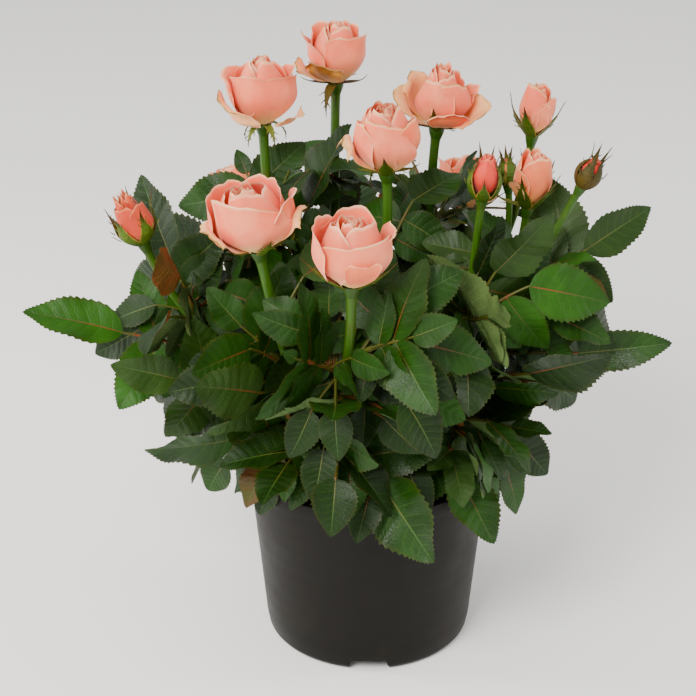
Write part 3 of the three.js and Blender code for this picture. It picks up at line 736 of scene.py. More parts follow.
class Recipe(NodePlan):
    """One material: a principled shader and the nodes that feed it."""

    def __init__(self, name: str, **plain: float) -> None:
        """Starts a material.

        Args:
            name: The material's name.
            plain: Values for the shader's own sockets, with underscores for spaces.
        """
        self.material = bpy.data.materials.new(name)
        self.material.use_nodes = True
        super().__init__(self.material.node_tree)
        self.shader = self.tree.nodes["Principled BSDF"]
        for socket, value in plain.items():
            self.shader.inputs[socket.replace("_", " ")].default_value = value

    def place(self) -> Socket:
        """The point on the piece, in metres."""
        return self.node("TexCoord").outputs["Object"]

    def growth(self) -> tuple[Socket, Socket]:
        """The two pattern coordinates that follow the surface."""
        split = self.node("SeparateXYZ", {0: self.node("UVMap", uv_map="growth").outputs[0]})
        return split.outputs[0], split.outputs[1]

    def vector(self, x: object, y: object = 0.0, z: object = 0.0) -> Socket:
        """Joins three numbers."""
        return self.node("CombineXYZ", {0: x, 1: y, 2: z}).outputs[0]

    def noise(self, vector: Socket, scale: float, detail: float = 3, rough: float = 0.5) -> Socket:
        """A cloudy pattern from 0 to 1."""
        return self.node("TexNoise", {"Vector": vector, "Scale": scale, "Detail": detail,
            "Roughness": rough}).outputs[0]

    def math(self, operation: str, first: object, second: object = 0.0) -> Socket:
        """One sum on one or two numbers."""
        return self.node("Math", {0: first, 1: second}, operation=operation).outputs[0]

    def times(self, first: object, second: object) -> Socket:
        """One number multiplied by another."""
        return self.math("MULTIPLY", first, second)

    def plus(self, first: object, second: object) -> Socket:
        """The sum of two numbers."""
        return self.math("ADD", first, second)

    def smooth(self, value: object, low: float, high: float, start: float = 0.0, end: float = 1.0) -> Socket:
        """A number that goes smoothly from start to end as the value goes from low to high."""
        made = self.node("MapRange", {0: value, 1: low, 2: high, 3: start, 4: end},
            interpolation_type="SMOOTHSTEP")
        return made.outputs[0]

    def mix(self, share: object, first: object, second: object) -> Socket:
        """Mixes two colours, each an output or an 8-bit display colour."""
        first, second = [colour if isinstance(colour, Socket) else srgb(*colour)
            for colour in (first, second)]
        return self.node("Mix", {0: share, 6: first, 7: second}, data_type="RGBA").outputs[2]

    def bump(self, height: Socket, distance: float, strength: float = 1.0) -> None:
        """Sets the shader's relief from a height, for a distance in metres."""
        made = self.node("Bump", {"Strength": strength, "Distance": distance, "Height": height})
        self.set(Normal=made.outputs[0])

    def set(self, **sockets: Socket) -> Material:
        """Feeds sockets of the shader, named with underscores for spaces, and returns the material."""
        for name, output in sockets.items():
            self.tree.links.new(output, self.shader.inputs[name.replace("_", " ")])
        return self.material


class GrowthTree(NodePlan):
    """A Geometry Nodes tree with named inputs, run once on an object."""

    prefix = "GeometryNode"

    def __init__(self, name: str, **inputs: float | int | Material) -> None:
        """Starts a tree.

        Args:
            name: The tree's name.
            inputs: The value of each named input.
        """
        super().__init__(bpy.data.node_groups.new(name, "GeometryNodeTree"))
        self.values = {}
        self.tree.interface.new_socket("Geometry", in_out="INPUT", socket_type="NodeSocketGeometry")
        for label, value in inputs.items():
            kind = {float: "Float", int: "Int"}.get(type(value), "Material")
            socket = self.tree.interface.new_socket(label, in_out="INPUT", socket_type="NodeSocket" + kind)
            self.values[socket.identifier] = value
        self.tree.interface.new_socket("Geometry", in_out="OUTPUT", socket_type="NodeSocketGeometry")
        self.start = self.tree.nodes.new("NodeGroupInput").outputs

    def spots(self, chosen: Socket) -> Node:
        """Points strewn over the chosen faces."""
        start = self.start
        return self.node("DistributePointsOnFaces",
            {"Mesh": start["Geometry"], "Selection": chosen, "Density": start["Density"],
            "Seed": start["Seed"]}, distribute_method="RANDOM")

    def varied(self, kind: str, low: object, high: object) -> Socket:
        """A number or three, drawn for each point between two bounds.

        Args:
            kind: The kind of number, as the node names it.
            low: The lower bound.
            high: The upper bound.

        Returns:
            The output that holds it.
        """
        first = 2 if kind == "FLOAT" else 0
        made = self.node("FunctionNodeRandomValue",
            {first: low, first + 1: high, "Seed": self.start["Seed"]}, data_type=kind)
        return made.outputs[first // 2]

    def strew(self, ground: Piece, spots: Node, thing: Node, turn: Socket, size: Socket, name: str) -> Piece:
        """Sets a turned and sized copy of a thing on each spot of the ground, as one mesh.

        Args:
            ground: The piece that is strewn.
            spots: The node that gives the points.
            thing: The node that makes one copy.
            turn: The turn of each copy.
            size: The size of each copy.
            name: The new piece's name.

        Returns:
            The copies as one plain mesh object.
        """
        strewn = self.node("InstanceOnPoints", {"Points": spots.outputs[0], "Instance": thing.outputs[0],
            "Rotation": turn, "Scale": size})
        return self.run(placed(name + "_carrier", ground.data.copy()), strewn.outputs[0], name)

    def run(self, carrier: Piece, last: Socket, name: str) -> Piece:
        """Realizes, dresses and writes what the tree makes.

        Args:
            carrier: The object that the tree works on, which is removed.
            last: The output that holds the result.
            name: The new object's name.

        Returns:
            The plain mesh object.
        """
        end = self.tree.nodes.new("NodeGroupOutput")
        real = self.node("RealizeInstances", {"Geometry": last})
        dressed = self.node("SetMaterial", {"Geometry": real.outputs[0], "Material": self.start["Finish"]})
        self.tree.links.new(dressed.outputs[0], end.inputs[0])
        modifier = carrier.modifiers.new(self.tree.name, "NODES")
        modifier.node_group = self.tree
        for identifier, value in self.values.items():
            modifier[identifier] = value
        made = baked(carrier, name)
        finish = made.data.materials[-1]
        made.data.materials.clear()
        made.data.materials.append(finish)
        return made


# ---------- Finishes ----------


@dataclass(frozen=True)
class PlasticFinish:
    """Matte black nursery plastic with a fine moulded skin, dust and faint scuffs."""

    name: str = "pot_plastic"
    body: tuple = (15, 13, 9)
    dust: tuple = (40, 36, 28)

    def material(self) -> Material:
        """Builds the material."""
        recipe = Recipe(self.name, Specular_IOR_Level=0.13)
        place = recipe.place()
        split = recipe.node("SeparateXYZ", {0: place}).outputs
        streak = recipe.noise(recipe.node("Mapping", {0: place, 3: (1, 1, 0.12)}).outputs[0], 90, 4, 0.6)
        cloud = recipe.noise(place, 34, 4, 0.6)
        grime = recipe.times(recipe.smooth(cloud, 0.52, 0.78), recipe.smooth(split[2], 0.05, 0.0, 0.25, 1))
        settled = recipe.plus(recipe.times(grime, 0.5), recipe.smooth(streak, 0.6, 0.8, 0, 0.16))
        skin = recipe.noise(place, 1500, 2, 0.6)
        height = recipe.plus(recipe.times(skin, 0.5), recipe.times(streak, 0.9))
        recipe.bump(height, 0.00012, 0.5)
        return recipe.set(Base_Color=recipe.mix(settled, self.body, self.dust),
            Roughness=recipe.smooth(cloud, 0.3, 0.75, 0.4, 0.52))


@dataclass(frozen=True)
class PeatFinish:
    """Moist peat compost or crumbs of it."""

    name: str = "peat"
    dark: tuple = (34, 23, 16)
    light: tuple = (88, 62, 42)
    rough: float = 0.92

    def material(self) -> Material:
        """Builds the material."""
        recipe = Recipe(self.name)
        place = recipe.place()
        coarse, fine = recipe.noise(place, 260, 5, 0.7), recipe.noise(place, 1400, 3, 0.7)
        recipe.bump(recipe.plus(coarse, recipe.times(fine, 0.5)), 0.0008)
        colour = recipe.mix(recipe.smooth(coarse, 0.4, 0.72), self.dark, self.light)
        rough = recipe.smooth(fine, 0.2, 0.8, self.rough - 0.14, self.rough)
        return recipe.set(Base_Color=colour, Roughness=rough)


@dataclass(frozen=True)
class BarkFinish:
    """Grey-brown young bark with lengthwise cracks and lighter lenticels."""

    name: str = "bark"
    dark: tuple = (62, 44, 26)
    light: tuple = (126, 98, 62)
    fresh: tuple = (92, 104, 44)

    def material(self) -> Material:
        """Builds the material."""
        recipe = Recipe(self.name, Specular_IOR_Level=0.3)
        around, along = recipe.growth()
        spot = recipe.vector(recipe.times(around, 9.0), recipe.times(along, 1.4))
        crack = recipe.noise(spot, 2.2, 5, 0.65)
        pore = recipe.noise(recipe.vector(recipe.times(around, 22.0), recipe.times(along, 12.0)), 1, 1, 0.5)
        recipe.bump(recipe.plus(crack, recipe.times(pore, 0.3)), 0.0009)
        wood = recipe.mix(recipe.smooth(crack, 0.38, 0.66), self.dark, self.light)
        return recipe.set(Base_Color=recipe.mix(recipe.smooth(pore, 0.6, 0.72, 0, 0.5), wood, self.fresh),
            Roughness=recipe.smooth(crack, 0.3, 0.7, 0.9, 0.7))


@dataclass(frozen=True)
class StemFinish:
    """A smooth young stem: streaked green, darker low down, with a blush on one side."""

    name: str
    low: tuple
    high: tuple
    blush: tuple
    from_height: float = 0.11
    to_height: float = 0.2
    blushing: float = 0.35

    def material(self) -> Material:
        """Builds the material."""
        recipe = Recipe(self.name, Specular_IOR_Level=0.3, Subsurface_Weight=0.06, Subsurface_Scale=0.001)
        place = recipe.place()
        height = recipe.node("SeparateXYZ", {0: place}).outputs[2]
        cloud = recipe.noise(place, 55, 4, 0.6)
        grain = recipe.noise(recipe.node("Mapping", {0: place, 3: (1, 1, 0.1)}).outputs[0], 900, 3, 0.6)
        green = recipe.mix(recipe.smooth(height, self.from_height, self.to_height), self.low, self.high)
        green = recipe.mix(recipe.times(recipe.smooth(grain, 0.4, 0.7), 0.35), green, self.low)
        recipe.bump(grain, 0.00015, 0.6)
        colour = recipe.mix(recipe.smooth(cloud, 0.5, 0.72, 0, self.blushing), green, self.blush)
        return recipe.set(Base_Color=colour, Roughness=recipe.smooth(cloud, 0.3, 0.7, 0.36, 0.5))


@dataclass(frozen=True)
class LeafFinish:
    """The upper or lower face of a leaf: veined, quilted between its veins and softly mottled."""

    name: str
    blade: tuple
    shade: tuple
    vein: tuple
    vein_strength: float = 0.13
    rough: float = 0.4
    relief: float = 0.00024
    edge: tuple | None = None
    veins: int = 9
    tip: tuple | None = None

    def material(self) -> Material:
        """Builds the material."""
        recipe = Recipe(self.name, Specular_IOR_Level=0.2, Subsurface_Weight=0.04, Subsurface_Scale=0.0008)
        across, along = recipe.growth()
        off_rib = recipe.times(recipe.math("ABSOLUTE", recipe.math("SUBTRACT", across, 0.5)), 2.0)
        counted = recipe.plus(recipe.times(along, float(self.veins)), 0.5)
        off_vein = recipe.math("ABSOLUTE", recipe.math("SUBTRACT", recipe.math("FRACT", counted), 0.5))
        line = recipe.smooth(off_vein, 0.015, 0.11, 1, 0)
        line = recipe.times(line, recipe.smooth(off_rib, 0.96, 0.35))
        net_at = recipe.vector(recipe.times(across, 15.0), recipe.times(along, 26.0))
        net = recipe.node("TexVoronoi", {"Vector": net_at, "Scale": 1.0},
            feature="DISTANCE_TO_EDGE").outputs[0]
        cell = recipe.smooth(net, 0.0, 0.22)
        place = recipe.place()
        cloud, speck = recipe.noise(place, 42, 3, 0.55), recipe.noise(place, 520, 2, 0.6)
        green = recipe.mix(recipe.smooth(cloud, 0.34, 0.68), self.shade, self.blade)
        green = recipe.mix(recipe.smooth(cell, 0, 1, 0.05, 0), green, self.vein)
        green = recipe.mix(recipe.times(line, self.vein_strength), green, self.vein)
        if self.edge:
            green = recipe.mix(recipe.smooth(off_rib, 0.8, 1.02, 0, 0.55), green, self.edge)
        if self.tip:
            green = recipe.mix(recipe.smooth(along, 0.5, 0.85), green, self.tip)
        quilt = recipe.plus(recipe.times(cell, 0.3), recipe.times(speck, 0.05))
        recipe.bump(recipe.math("SUBTRACT", quilt, recipe.times(line, 0.35)), self.relief, 0.7)
        rough = recipe.smooth(cloud, 0.3, 0.7, self.rough - 0.05, self.rough + 0.1)
        return recipe.set(Base_Color=green, Roughness=rough)


@dataclass(frozen=True)
class RibFinish:
    """The midrib: reddish at the leaf's foot, fading to the vein's colour towards its tip."""

    name: str
    foot: tuple
    tip: tuple

    def material(self) -> Material:
        """Builds the material."""
        recipe = Recipe(self.name, Specular_IOR_Level=0.4)
        _, along = recipe.growth()
        speck = recipe.noise(recipe.place(), 600, 2, 0.6)
        recipe.bump(speck, 0.0001, 0.5)
        fade = recipe.smooth(recipe.plus(along, recipe.times(speck, 0.2)), 0.15, 0.8)
        return recipe.set(Base_Color=recipe.mix(fade, self.foot, self.tip),
            Roughness=recipe.smooth(speck, 0.3, 0.7, 0.45, 0.6))


@dataclass(frozen=True)
class PetalFinish:
    """A velvety petal: cream at its claw, flushed over its body, with a fan of veins; its pale lip is partly
    its own paler edge and partly painted highlight.
    """

    name: str
    claw: tuple
    body: tuple
    flush: tuple
    # The lip colour: partly the petal's own paler edge, partly a painted highlight on the rolled lip.
    lip: tuple
    burnt: tuple
    burning: float = 0.25

    def material(self) -> Material:
        """Builds the material."""
        recipe = Recipe(self.name, Specular_IOR_Level=0.28, Subsurface_Weight=0.22, Subsurface_Scale=0.0025,
            Sheen_Weight=0.18, Sheen_Roughness=0.4)
        recipe.shader.inputs["Subsurface Radius"].default_value = (1.0, 0.45, 0.3)
        across, along = recipe.growth()
        place = recipe.place()
        cloud = recipe.noise(place, 75, 3, 0.5)
        fan = recipe.noise(recipe.vector(recipe.times(across, 46.0), recipe.times(along, 2.2)), 1, 3, 0.55)
        off_middle = recipe.times(recipe.math("ABSOLUTE", recipe.math("SUBTRACT", across, 0.5)), 2.0)
        skin = recipe.mix(recipe.smooth(cloud, 0.35, 0.68), self.body, self.flush)
        skin = recipe.mix(recipe.smooth(recipe.plus(along, recipe.times(fan, 0.16)), 0.1, 0.52, 1, 0),
            skin, self.claw)
        # Pale band along the lip: partly the petal's own paler edge, partly a painted highlight where the
        # rolled lip catches the light.
        near_lip = recipe.math("MAXIMUM", along, recipe.times(off_middle, 0.98))
        skin = recipe.mix(recipe.smooth(near_lip, 0.925, 0.995, 0, 0.85), skin, self.lip)
        skin = recipe.mix(recipe.smooth(fan, 0.42, 0.7, 0, 0.16), skin, self.flush)
        rim = recipe.times(recipe.smooth(near_lip, 0.955, 0.995),
            recipe.smooth(cloud, 0.42, 0.58, 0, self.burning * 2.5))
        skin = recipe.mix(rim, skin, self.burnt)
        recipe.bump(recipe.plus(fan, recipe.times(cloud, 0.7)), 0.00022, 0.45)
        return recipe.set(Base_Color=skin, Roughness=recipe.smooth(cloud, 0.3, 0.7, 0.5, 0.66))


@dataclass(frozen=True)
class GrainFinish:
    """White expanded grains with a few stained sides."""

    name: str = "grit"
    clean: tuple = (226, 222, 210)
    stained: tuple = (160, 142, 116)

    def material(self) -> Material:
        """Builds the material."""
        recipe = Recipe(self.name)
        place = recipe.place()
        patch, pit = recipe.noise(place, 420, 3, 0.6), recipe.noise(place, 2600, 2, 0.6)
        recipe.bump(pit, 0.0003)
        return recipe.set(Base_Color=recipe.mix(recipe.smooth(patch, 0.48, 0.7), self.clean, self.stained),
            Roughness=recipe.smooth(pit, 0.3, 0.7, 0.8, 0.95))


@dataclass(frozen=True)
class FloorFinish:
    """The plain pale floor."""

    name: str = "pale_floor"
    tone: tuple = (246, 246, 246)
    worn: tuple = (236, 236, 236)

    def material(self) -> Material:
        """Builds the material."""
        recipe = Recipe(self.name, Specular_IOR_Level=0.1)
        cloud = recipe.noise(recipe.place(), 6, 2, 0.5)
        tone = recipe.mix(recipe.smooth(cloud, 0, 1, 0, 0.06), self.tone, self.worn)
        return recipe.set(Base_Color=tone, Roughness=recipe.smooth(cloud, 0, 1, 0.8, 0.9))


class LeafTone(Enum):
    """The colours that leaves are dealt, a whole spray at a time."""

    DEEP, MID, FRESH, GREY, BRONZE = range(5)


class PetalTone(Enum):
    """The colours that petals are dealt."""

    OUTER, HEART, FADED, CORAL, DRIED, WARM, SALMON = range(7)


class Wardrobe:
    """Every finish of the plant, each material made once."""

    def __init__(self) -> None:
        """Makes the materials."""
        vein = (72, 104, 24)
        blades = {
            LeafTone.DEEP: ((15, 41, 2), (10, 30, 2)),
            LeafTone.MID: ((24, 61, 3), (16, 44, 3)),
            LeafTone.FRESH: ((36, 84, 4), (26, 64, 4)),
            LeafTone.GREY: ((38, 64, 14), (28, 50, 12)),
            LeafTone.BRONZE: ((46, 58, 6), (78, 44, 8)),
        }
        self.leaf = [LeafFinish(f"leaf_{tone.name.lower()}", *pair, vein,
            edge=(44, 52, 8) if tone is not LeafTone.GREY else None).material()
            for tone, pair in blades.items()]
        self.leaf += [finish.material() for finish in (
            LeafFinish("leaf_underside", (80, 102, 52), (64, 88, 44), (116, 132, 80), 0.3, 0.55, 0.0004),
            LeafFinish("leaf_underside_red", (124, 58, 22), (86, 68, 26), (160, 98, 48), 0.5, 0.55, 0.0004),
            RibFinish("rib_green", (84, 78, 20), (42, 76, 12)),
            RibFinish("rib_red", (116, 46, 16), (50, 68, 13)))]
        cream, burnt = (236, 188, 112), (186, 112, 40)
        # Each row: name, claw, body, flush, lip, burnt and burning; the lip colour is partly the petals' own
        # paler edge and partly a painted highlight.
        petals = (
            ("outer", cream, (247, 132, 94), (240, 104, 72), (253, 208, 156), burnt, 0.4),
            ("heart", (240, 156, 100), (246, 128, 92), (238, 102, 72), (254, 198, 154), burnt, 0.2),
            ("faded", (238, 190, 116), (243, 172, 118), (228, 138, 82), (218, 164, 84), (132, 82, 24), 0.5),
            ("coral", (196, 64, 34), (218, 58, 40), (194, 38, 28), (240, 112, 78), (146, 54, 24), 0.3),
            ("dried", (202, 150, 76), (160, 112, 34), (118, 76, 16), (178, 130, 52), (80, 46, 12), 0.5),
            ("warm", (236, 168, 92), (243, 122, 74), (230, 92, 54), (255, 200, 146), (180, 100, 34), 0.35),
            ("salmon", (220, 132, 68), (208, 76, 42), (184, 50, 28), (240, 144, 96), (156, 78, 28), 0.4),
        )
        self.petal = [PetalFinish("petal_" + name, *tones).material() for name, *tones in petals]
        sepals = (
            ("green", ((70, 94, 12), (46, 72, 8), (120, 126, 36)), 0.5, (206, 156, 68), (64, 46, 16)),
            ("inside", ((112, 124, 44), (88, 104, 32), (146, 150, 70)), 0.6, (196, 154, 76), (72, 52, 20)),
            ("dark", ((78, 62, 14), (46, 46, 10), (104, 76, 30)), 0.5, (52, 30, 18), None),
        )
        self.sepal = [LeafFinish("sepal_" + name, *tones, 0.2, rough, 0.0002, edge, 5, tip).material()
            for name, tones, rough, edge, tip in sepals]
        self.stem = StemFinish("flower_stem", (22, 44, 2), (48, 84, 3), (76, 56, 10)).material()
        self.hip = StemFinish("hip", (36, 66, 6), (42, 76, 8), (84, 70, 16), 0.2, 0.28, 0.2).material()
        self.stalk = StemFinish("leaf_stalk", (58, 56, 12), (70, 76, 14), (120, 50, 18), 0.1, 0.24,
            0.8).material()
        self.prickle = StemFinish("prickle", (140, 74, 48), (168, 100, 62), (120, 60, 40)).material()
        self.bark = BarkFinish().material()
        self.cut_wood = BarkFinish("cut_wood", (120, 96, 62), (178, 156, 112), (150, 130, 90)).material()
        self.peat = PeatFinish().material()
        self.crumb = PeatFinish("peat_crumb", (44, 30, 20), (112, 82, 56)).material()
        self.grit = GrainFinish().material()
        self.plastic = PlasticFinish().material()


# ---------- Pot and compost ----------


@dataclass
class Pot:
    """The round nursery pot with its rim, moulding lines, drain notches and vaulted pockets."""

    wardrobe: Wardrobe
    height: float = 100
    base_radius: float = 52
    wall_top_radius: float = 61.5
    rim_radius: float = 65
    rim_height: float = 8
    wall: float = 1.6
    floor: float = 2.2
    heel: float = 4
    notches: int = 3
    notch_height: float = 6.3
    notch_below: float = 22
    notch_above: float = 17
    notch_depth: float = 13
    notch_skin: float = 1.5
    slot: Pair = (9, 5)
    sides: int = 144

    def wall_radius(self, z: float) -> float:
        """The outer radius of the wall at a height."""
        return mix(self.base_radius, self.wall_top_radius, z / self.height)

    def _turned(self, profile: Iterable[Pair], sides: int) -> Piece:
        """A closed lathe body from its outer foot round to its inner middle, with both ends on the axis.

        Args:
            profile: Radius and height of each ring.
            sides: How many sides it has.

        Returns:
            The body.
        """
        rings = np.array(list(profile))
        turns = around(sides) - math.pi / 2
        grid = np.stack([rings[1:-1, :1] * np.cos(turns), rings[1:-1, :1] * np.sin(turns),
            np.repeat(rings[1:-1, 1:], sides, 1)], 2).reshape(-1, 3)
        steps = len(rings) - 3
        writer = MeshWriter()
        writer.add(np.concatenate([grid, [[0, 0, rings[0][1]]], [[0, 0, rings[-1][1]]]]),
            ring_faces(steps, sides))
        writer.link(cap_faces(steps, sides), None, 0, 0)
        return writer.piece("turned", [])

    def _loft(self, shape: bmesh.types.BMesh, lines: Sequence[Sequence[Triple]], turn: float) -> None:
        """Adds a closed body through a row of four-cornered sections, turned round the pot's axis.

        Args:
            shape: What collects the faces.
            lines: The four corners of each section, in millimetres.
            turn: The turn round the pot's axis.
        """
        cos, sin = math.cos(turn), math.sin(turn)
        made = [[shape.verts.new(((x * cos - y * sin) * MM, (x * sin + y * cos) * MM, z * MM))
            for x, y, z in line] for line in lines]
        for one, two in zip(made, made[1:]):
            for here, there in ((0, 1), (1, 3), (3, 2), (2, 0)):
                shape.faces.new([one[here], one[there], two[there], two[here]])
        for end in (made[0], made[-1]):
            shape.faces.new([end[i] for i in (0, 1, 3, 2)])

    def _blocks(self, margin: float, inner: float, outer: float, slots: bool) -> Piece:
        """The notch blocks all round the heel, grown by a margin, with their drain slots where asked.

        Args:
            margin: By how much the blocks are grown.
            inner: How far from the axis they start.
            outer: The radius that they end at.
            slots: Whether they carry the drain slots.

        Returns:
            The blocks as one object.
        """
        shape = bmesh.new()
        for index in range(self.notches):
            turn = index * 2 * math.pi / self.notches
            below, above = self.notch_below / 2 + margin, self.notch_above / 2 + margin
            top = self.notch_height + margin
            foot = -1 if slots else 1.3
            shares = np.linspace(-1, 1, 9)
            lines = [[(x, y, z) for x, z in ((below * k, foot), (above * k, top))
                for y in (-inner, -math.sqrt(outer ** 2 - x ** 2))] for k in shares]
            self._loft(shape, lines, turn)
            if slots:
                length, width = self.slot[0] / 2, self.slot[1] / 2
                middle = -(inner + self.slot[1])
                self._loft(shape, [[(x, y, z) for z in (top - 3, top + 3)
                    for y in (middle + width, middle - width)] for x in (-length, length)], turn)
        bmesh.ops.recalc_face_normals(shape, faces=shape.faces)
        mesh = bpy.data.meshes.new("notch_blocks")
        shape.to_mesh(mesh)
        shape.free()
        return placed("notch_blocks", mesh)

    def build(self) -> Piece:
        """Builds and dresses the pot."""
        heel = [(self.base_radius - self.heel + self.heel * math.sin(a), self.heel - self.heel * math.cos(a))
            for a in np.linspace(0, math.pi / 2, 7)]
        under, top, wide, wall = self.height - self.rim_height, self.height, self.rim_radius, self.wall_radius
        walls = [(wall(z) + 0.06 * math.sin(z * 0.7), z) for z in np.linspace(7, 88, 28)]
        rim = [(wall(under - 0.6), under - 0.6), (wall(under) + 0.5, under + 0.1)]
        rim += [(wide - inwards, under + up) for inwards, up in ((1.1, 0.5), (0.5, 0.9), (0.35, 1.6))]
        rim += [(wide - inwards, top - down) for inwards, down in (
            (0.12, 1.0), (0.25, 0.35), (0.7, 0), (1.6, 0), (2.1, 0.35), (2.3, 1.1))]
        inside = [(wall(under) - self.wall, under - 2),
            (wall(self.floor) - self.wall - 1.5, self.floor + 0.5),
            (wall(self.floor) - self.wall - 2.4, self.floor)]
        body = self._turned([(0, 0.9), (20, 0.9), (22, 0.0), (38, 0.0), *heel, *walls, *rim, *inside,
            (0, self.floor)], self.sides)
        inner = self.base_radius - self.notch_depth
        pockets = self._blocks(self.notch_skin, inner - self.notch_skin, self.base_radius - 1.1, False)
        hollows = self._blocks(0, inner, self.base_radius + 5, True)
        for tool, operation in ((pockets, "UNION"), (hollows, "DIFFERENCE")):
            modifier = body.modifiers.new(operation, "BOOLEAN")
            modifier.object, modifier.operation, modifier.solver = tool, operation, "EXACT"
        body = baked(body, "nursery_pot")
        for tool in (pockets, hollows):
            bpy.data.objects.remove(tool)
        body.data.shade_smooth()
        body.data.set_sharp_from_angle(angle=math.radians(32))
        body.data.materials.clear()
        body.data.materials.append(self.wardrobe.plastic)
        return settle(body, "pot", "pot")


@dataclass
class Compost:
    """The filling: a crumbly bed of peat with loose crumbs and white grains on it."""

    wardrobe: Wardrobe
    top: float = COMPOST_TOP
    radius: float = 59
    foot_radius: float = 50.2
    foot_height: float = 12
    crumbs: float = 260000.0
    grains: float = 22000.0

    def _surface(self, x: float, y: float) -> float:
        """The height of the bed at a point, in millimetres."""
        away = math.hypot(x, y) / self.radius
        lumps = noise.fractal(Vector((x / 9, y / 9, 3.0)), 0.9, 2.1, 5) * 0.9
        return self.top - 0.7 - 1.8 * away ** 3 + lumps + 0.5 * noise.noise(Vector((x / 26, y / 26, 7.0)))

    def _bed(self) -> Piece:
        """The bed itself, closed below."""
        sides, rings = 120, 34
        turns, radii = around(sides), np.linspace(0, self.radius, rings + 1)[1:]
        points = [(0, 0, self._surface(0, 0))]
        for radius in radii:
            spots = [(radius * math.cos(t), radius * math.sin(t)) for t in turns]
            points += [(x, y, self._surface(x, y)) for x, y in spots]
        points += [(self.foot_radius * math.cos(t), self.foot_radius * math.sin(t), self.foot_height)
            for t in turns]
        points.append((0, 0, self.foot_height))
        side, last = np.arange(sides), 1 + rings * sides
        after = (side + 1) % sides
        first = (1 + np.arange(rings) * sides)[None]
        here, there = side[:, None] + first, after[:, None] + first
        faces = np.stack([here, here + sides, there + sides, there], 2).reshape(-1, 4)
        fans = np.stack([np.zeros(sides), 1 + side, 1 + after, np.full(sides, len(points) - 1), last + after,
            last + side], 1)
        writer = MeshWriter()
        writer.add(np.array(points), faces)
        writer.link(fans.reshape(-1, 3), None, 0, 0)
        return writer.piece("compost_bed", [self.wardrobe.peat], 50)

    def _scattered(self, name: str, finish: Material, density: float, sizes: Pair, seed: int) -> Piece:
        """Scatters small lumps over the bed.

        Args:
            name: The piece's name.
            finish: Its material.
            density: Lumps for each square metre.
            sizes: The smallest and the largest lump, in metres.
            seed: The seed of the scatter.

        Returns:
            The lumps as one mesh.
        """
        tree = GrowthTree(name, Density=density, Smallest=sizes[0], Largest=sizes[1],
            Seed=seed, Finish=finish)
        up = tree.node("InputNormal").outputs[0]
        flat = tree.node("FunctionNodeCompare", {0: tree.node("ShaderNodeSeparateXYZ", {0: up}).outputs[2],
            1: 0.35}, operation="GREATER_THAN")
        lump = tree.node("MeshIcoSphere", {"Radius": 1.0, "Subdivisions": 1})
        turn = tree.varied("FLOAT_VECTOR", (0, 0, 0), (6.28, 6.28, 6.28))
        size = tree.varied("FLOAT", tree.start["Smallest"], tree.start["Largest"])
        squash = tree.varied("FLOAT_VECTOR", (0.6, 0.5, 0.45), (1.3, 1.1, 0.9))
        scale = tree.node("ShaderNodeVectorMath", {0: squash, "Scale": size}, operation="SCALE").outputs[0]
        return tree.strew(self.bed, tree.spots(flat.outputs[0]), lump, turn, scale, name)

    def build(self) -> list[Piece]:
        """Builds and dresses the bed, its crumbs and its grains."""
        self.bed = self._bed()
        crumbs = self._scattered("peat_crumbs", self.wardrobe.crumb, self.crumbs, (0.0004, 0.0013), 5)
        grains = self._scattered("white_grains", self.wardrobe.grit, self.grains, (0.0006, 0.0015), 11)
        return [settle(self.bed, "compost", "compost"), settle(crumbs, "compost"), settle(grains, "compost")]


# ---------- Stumps and stems ----------


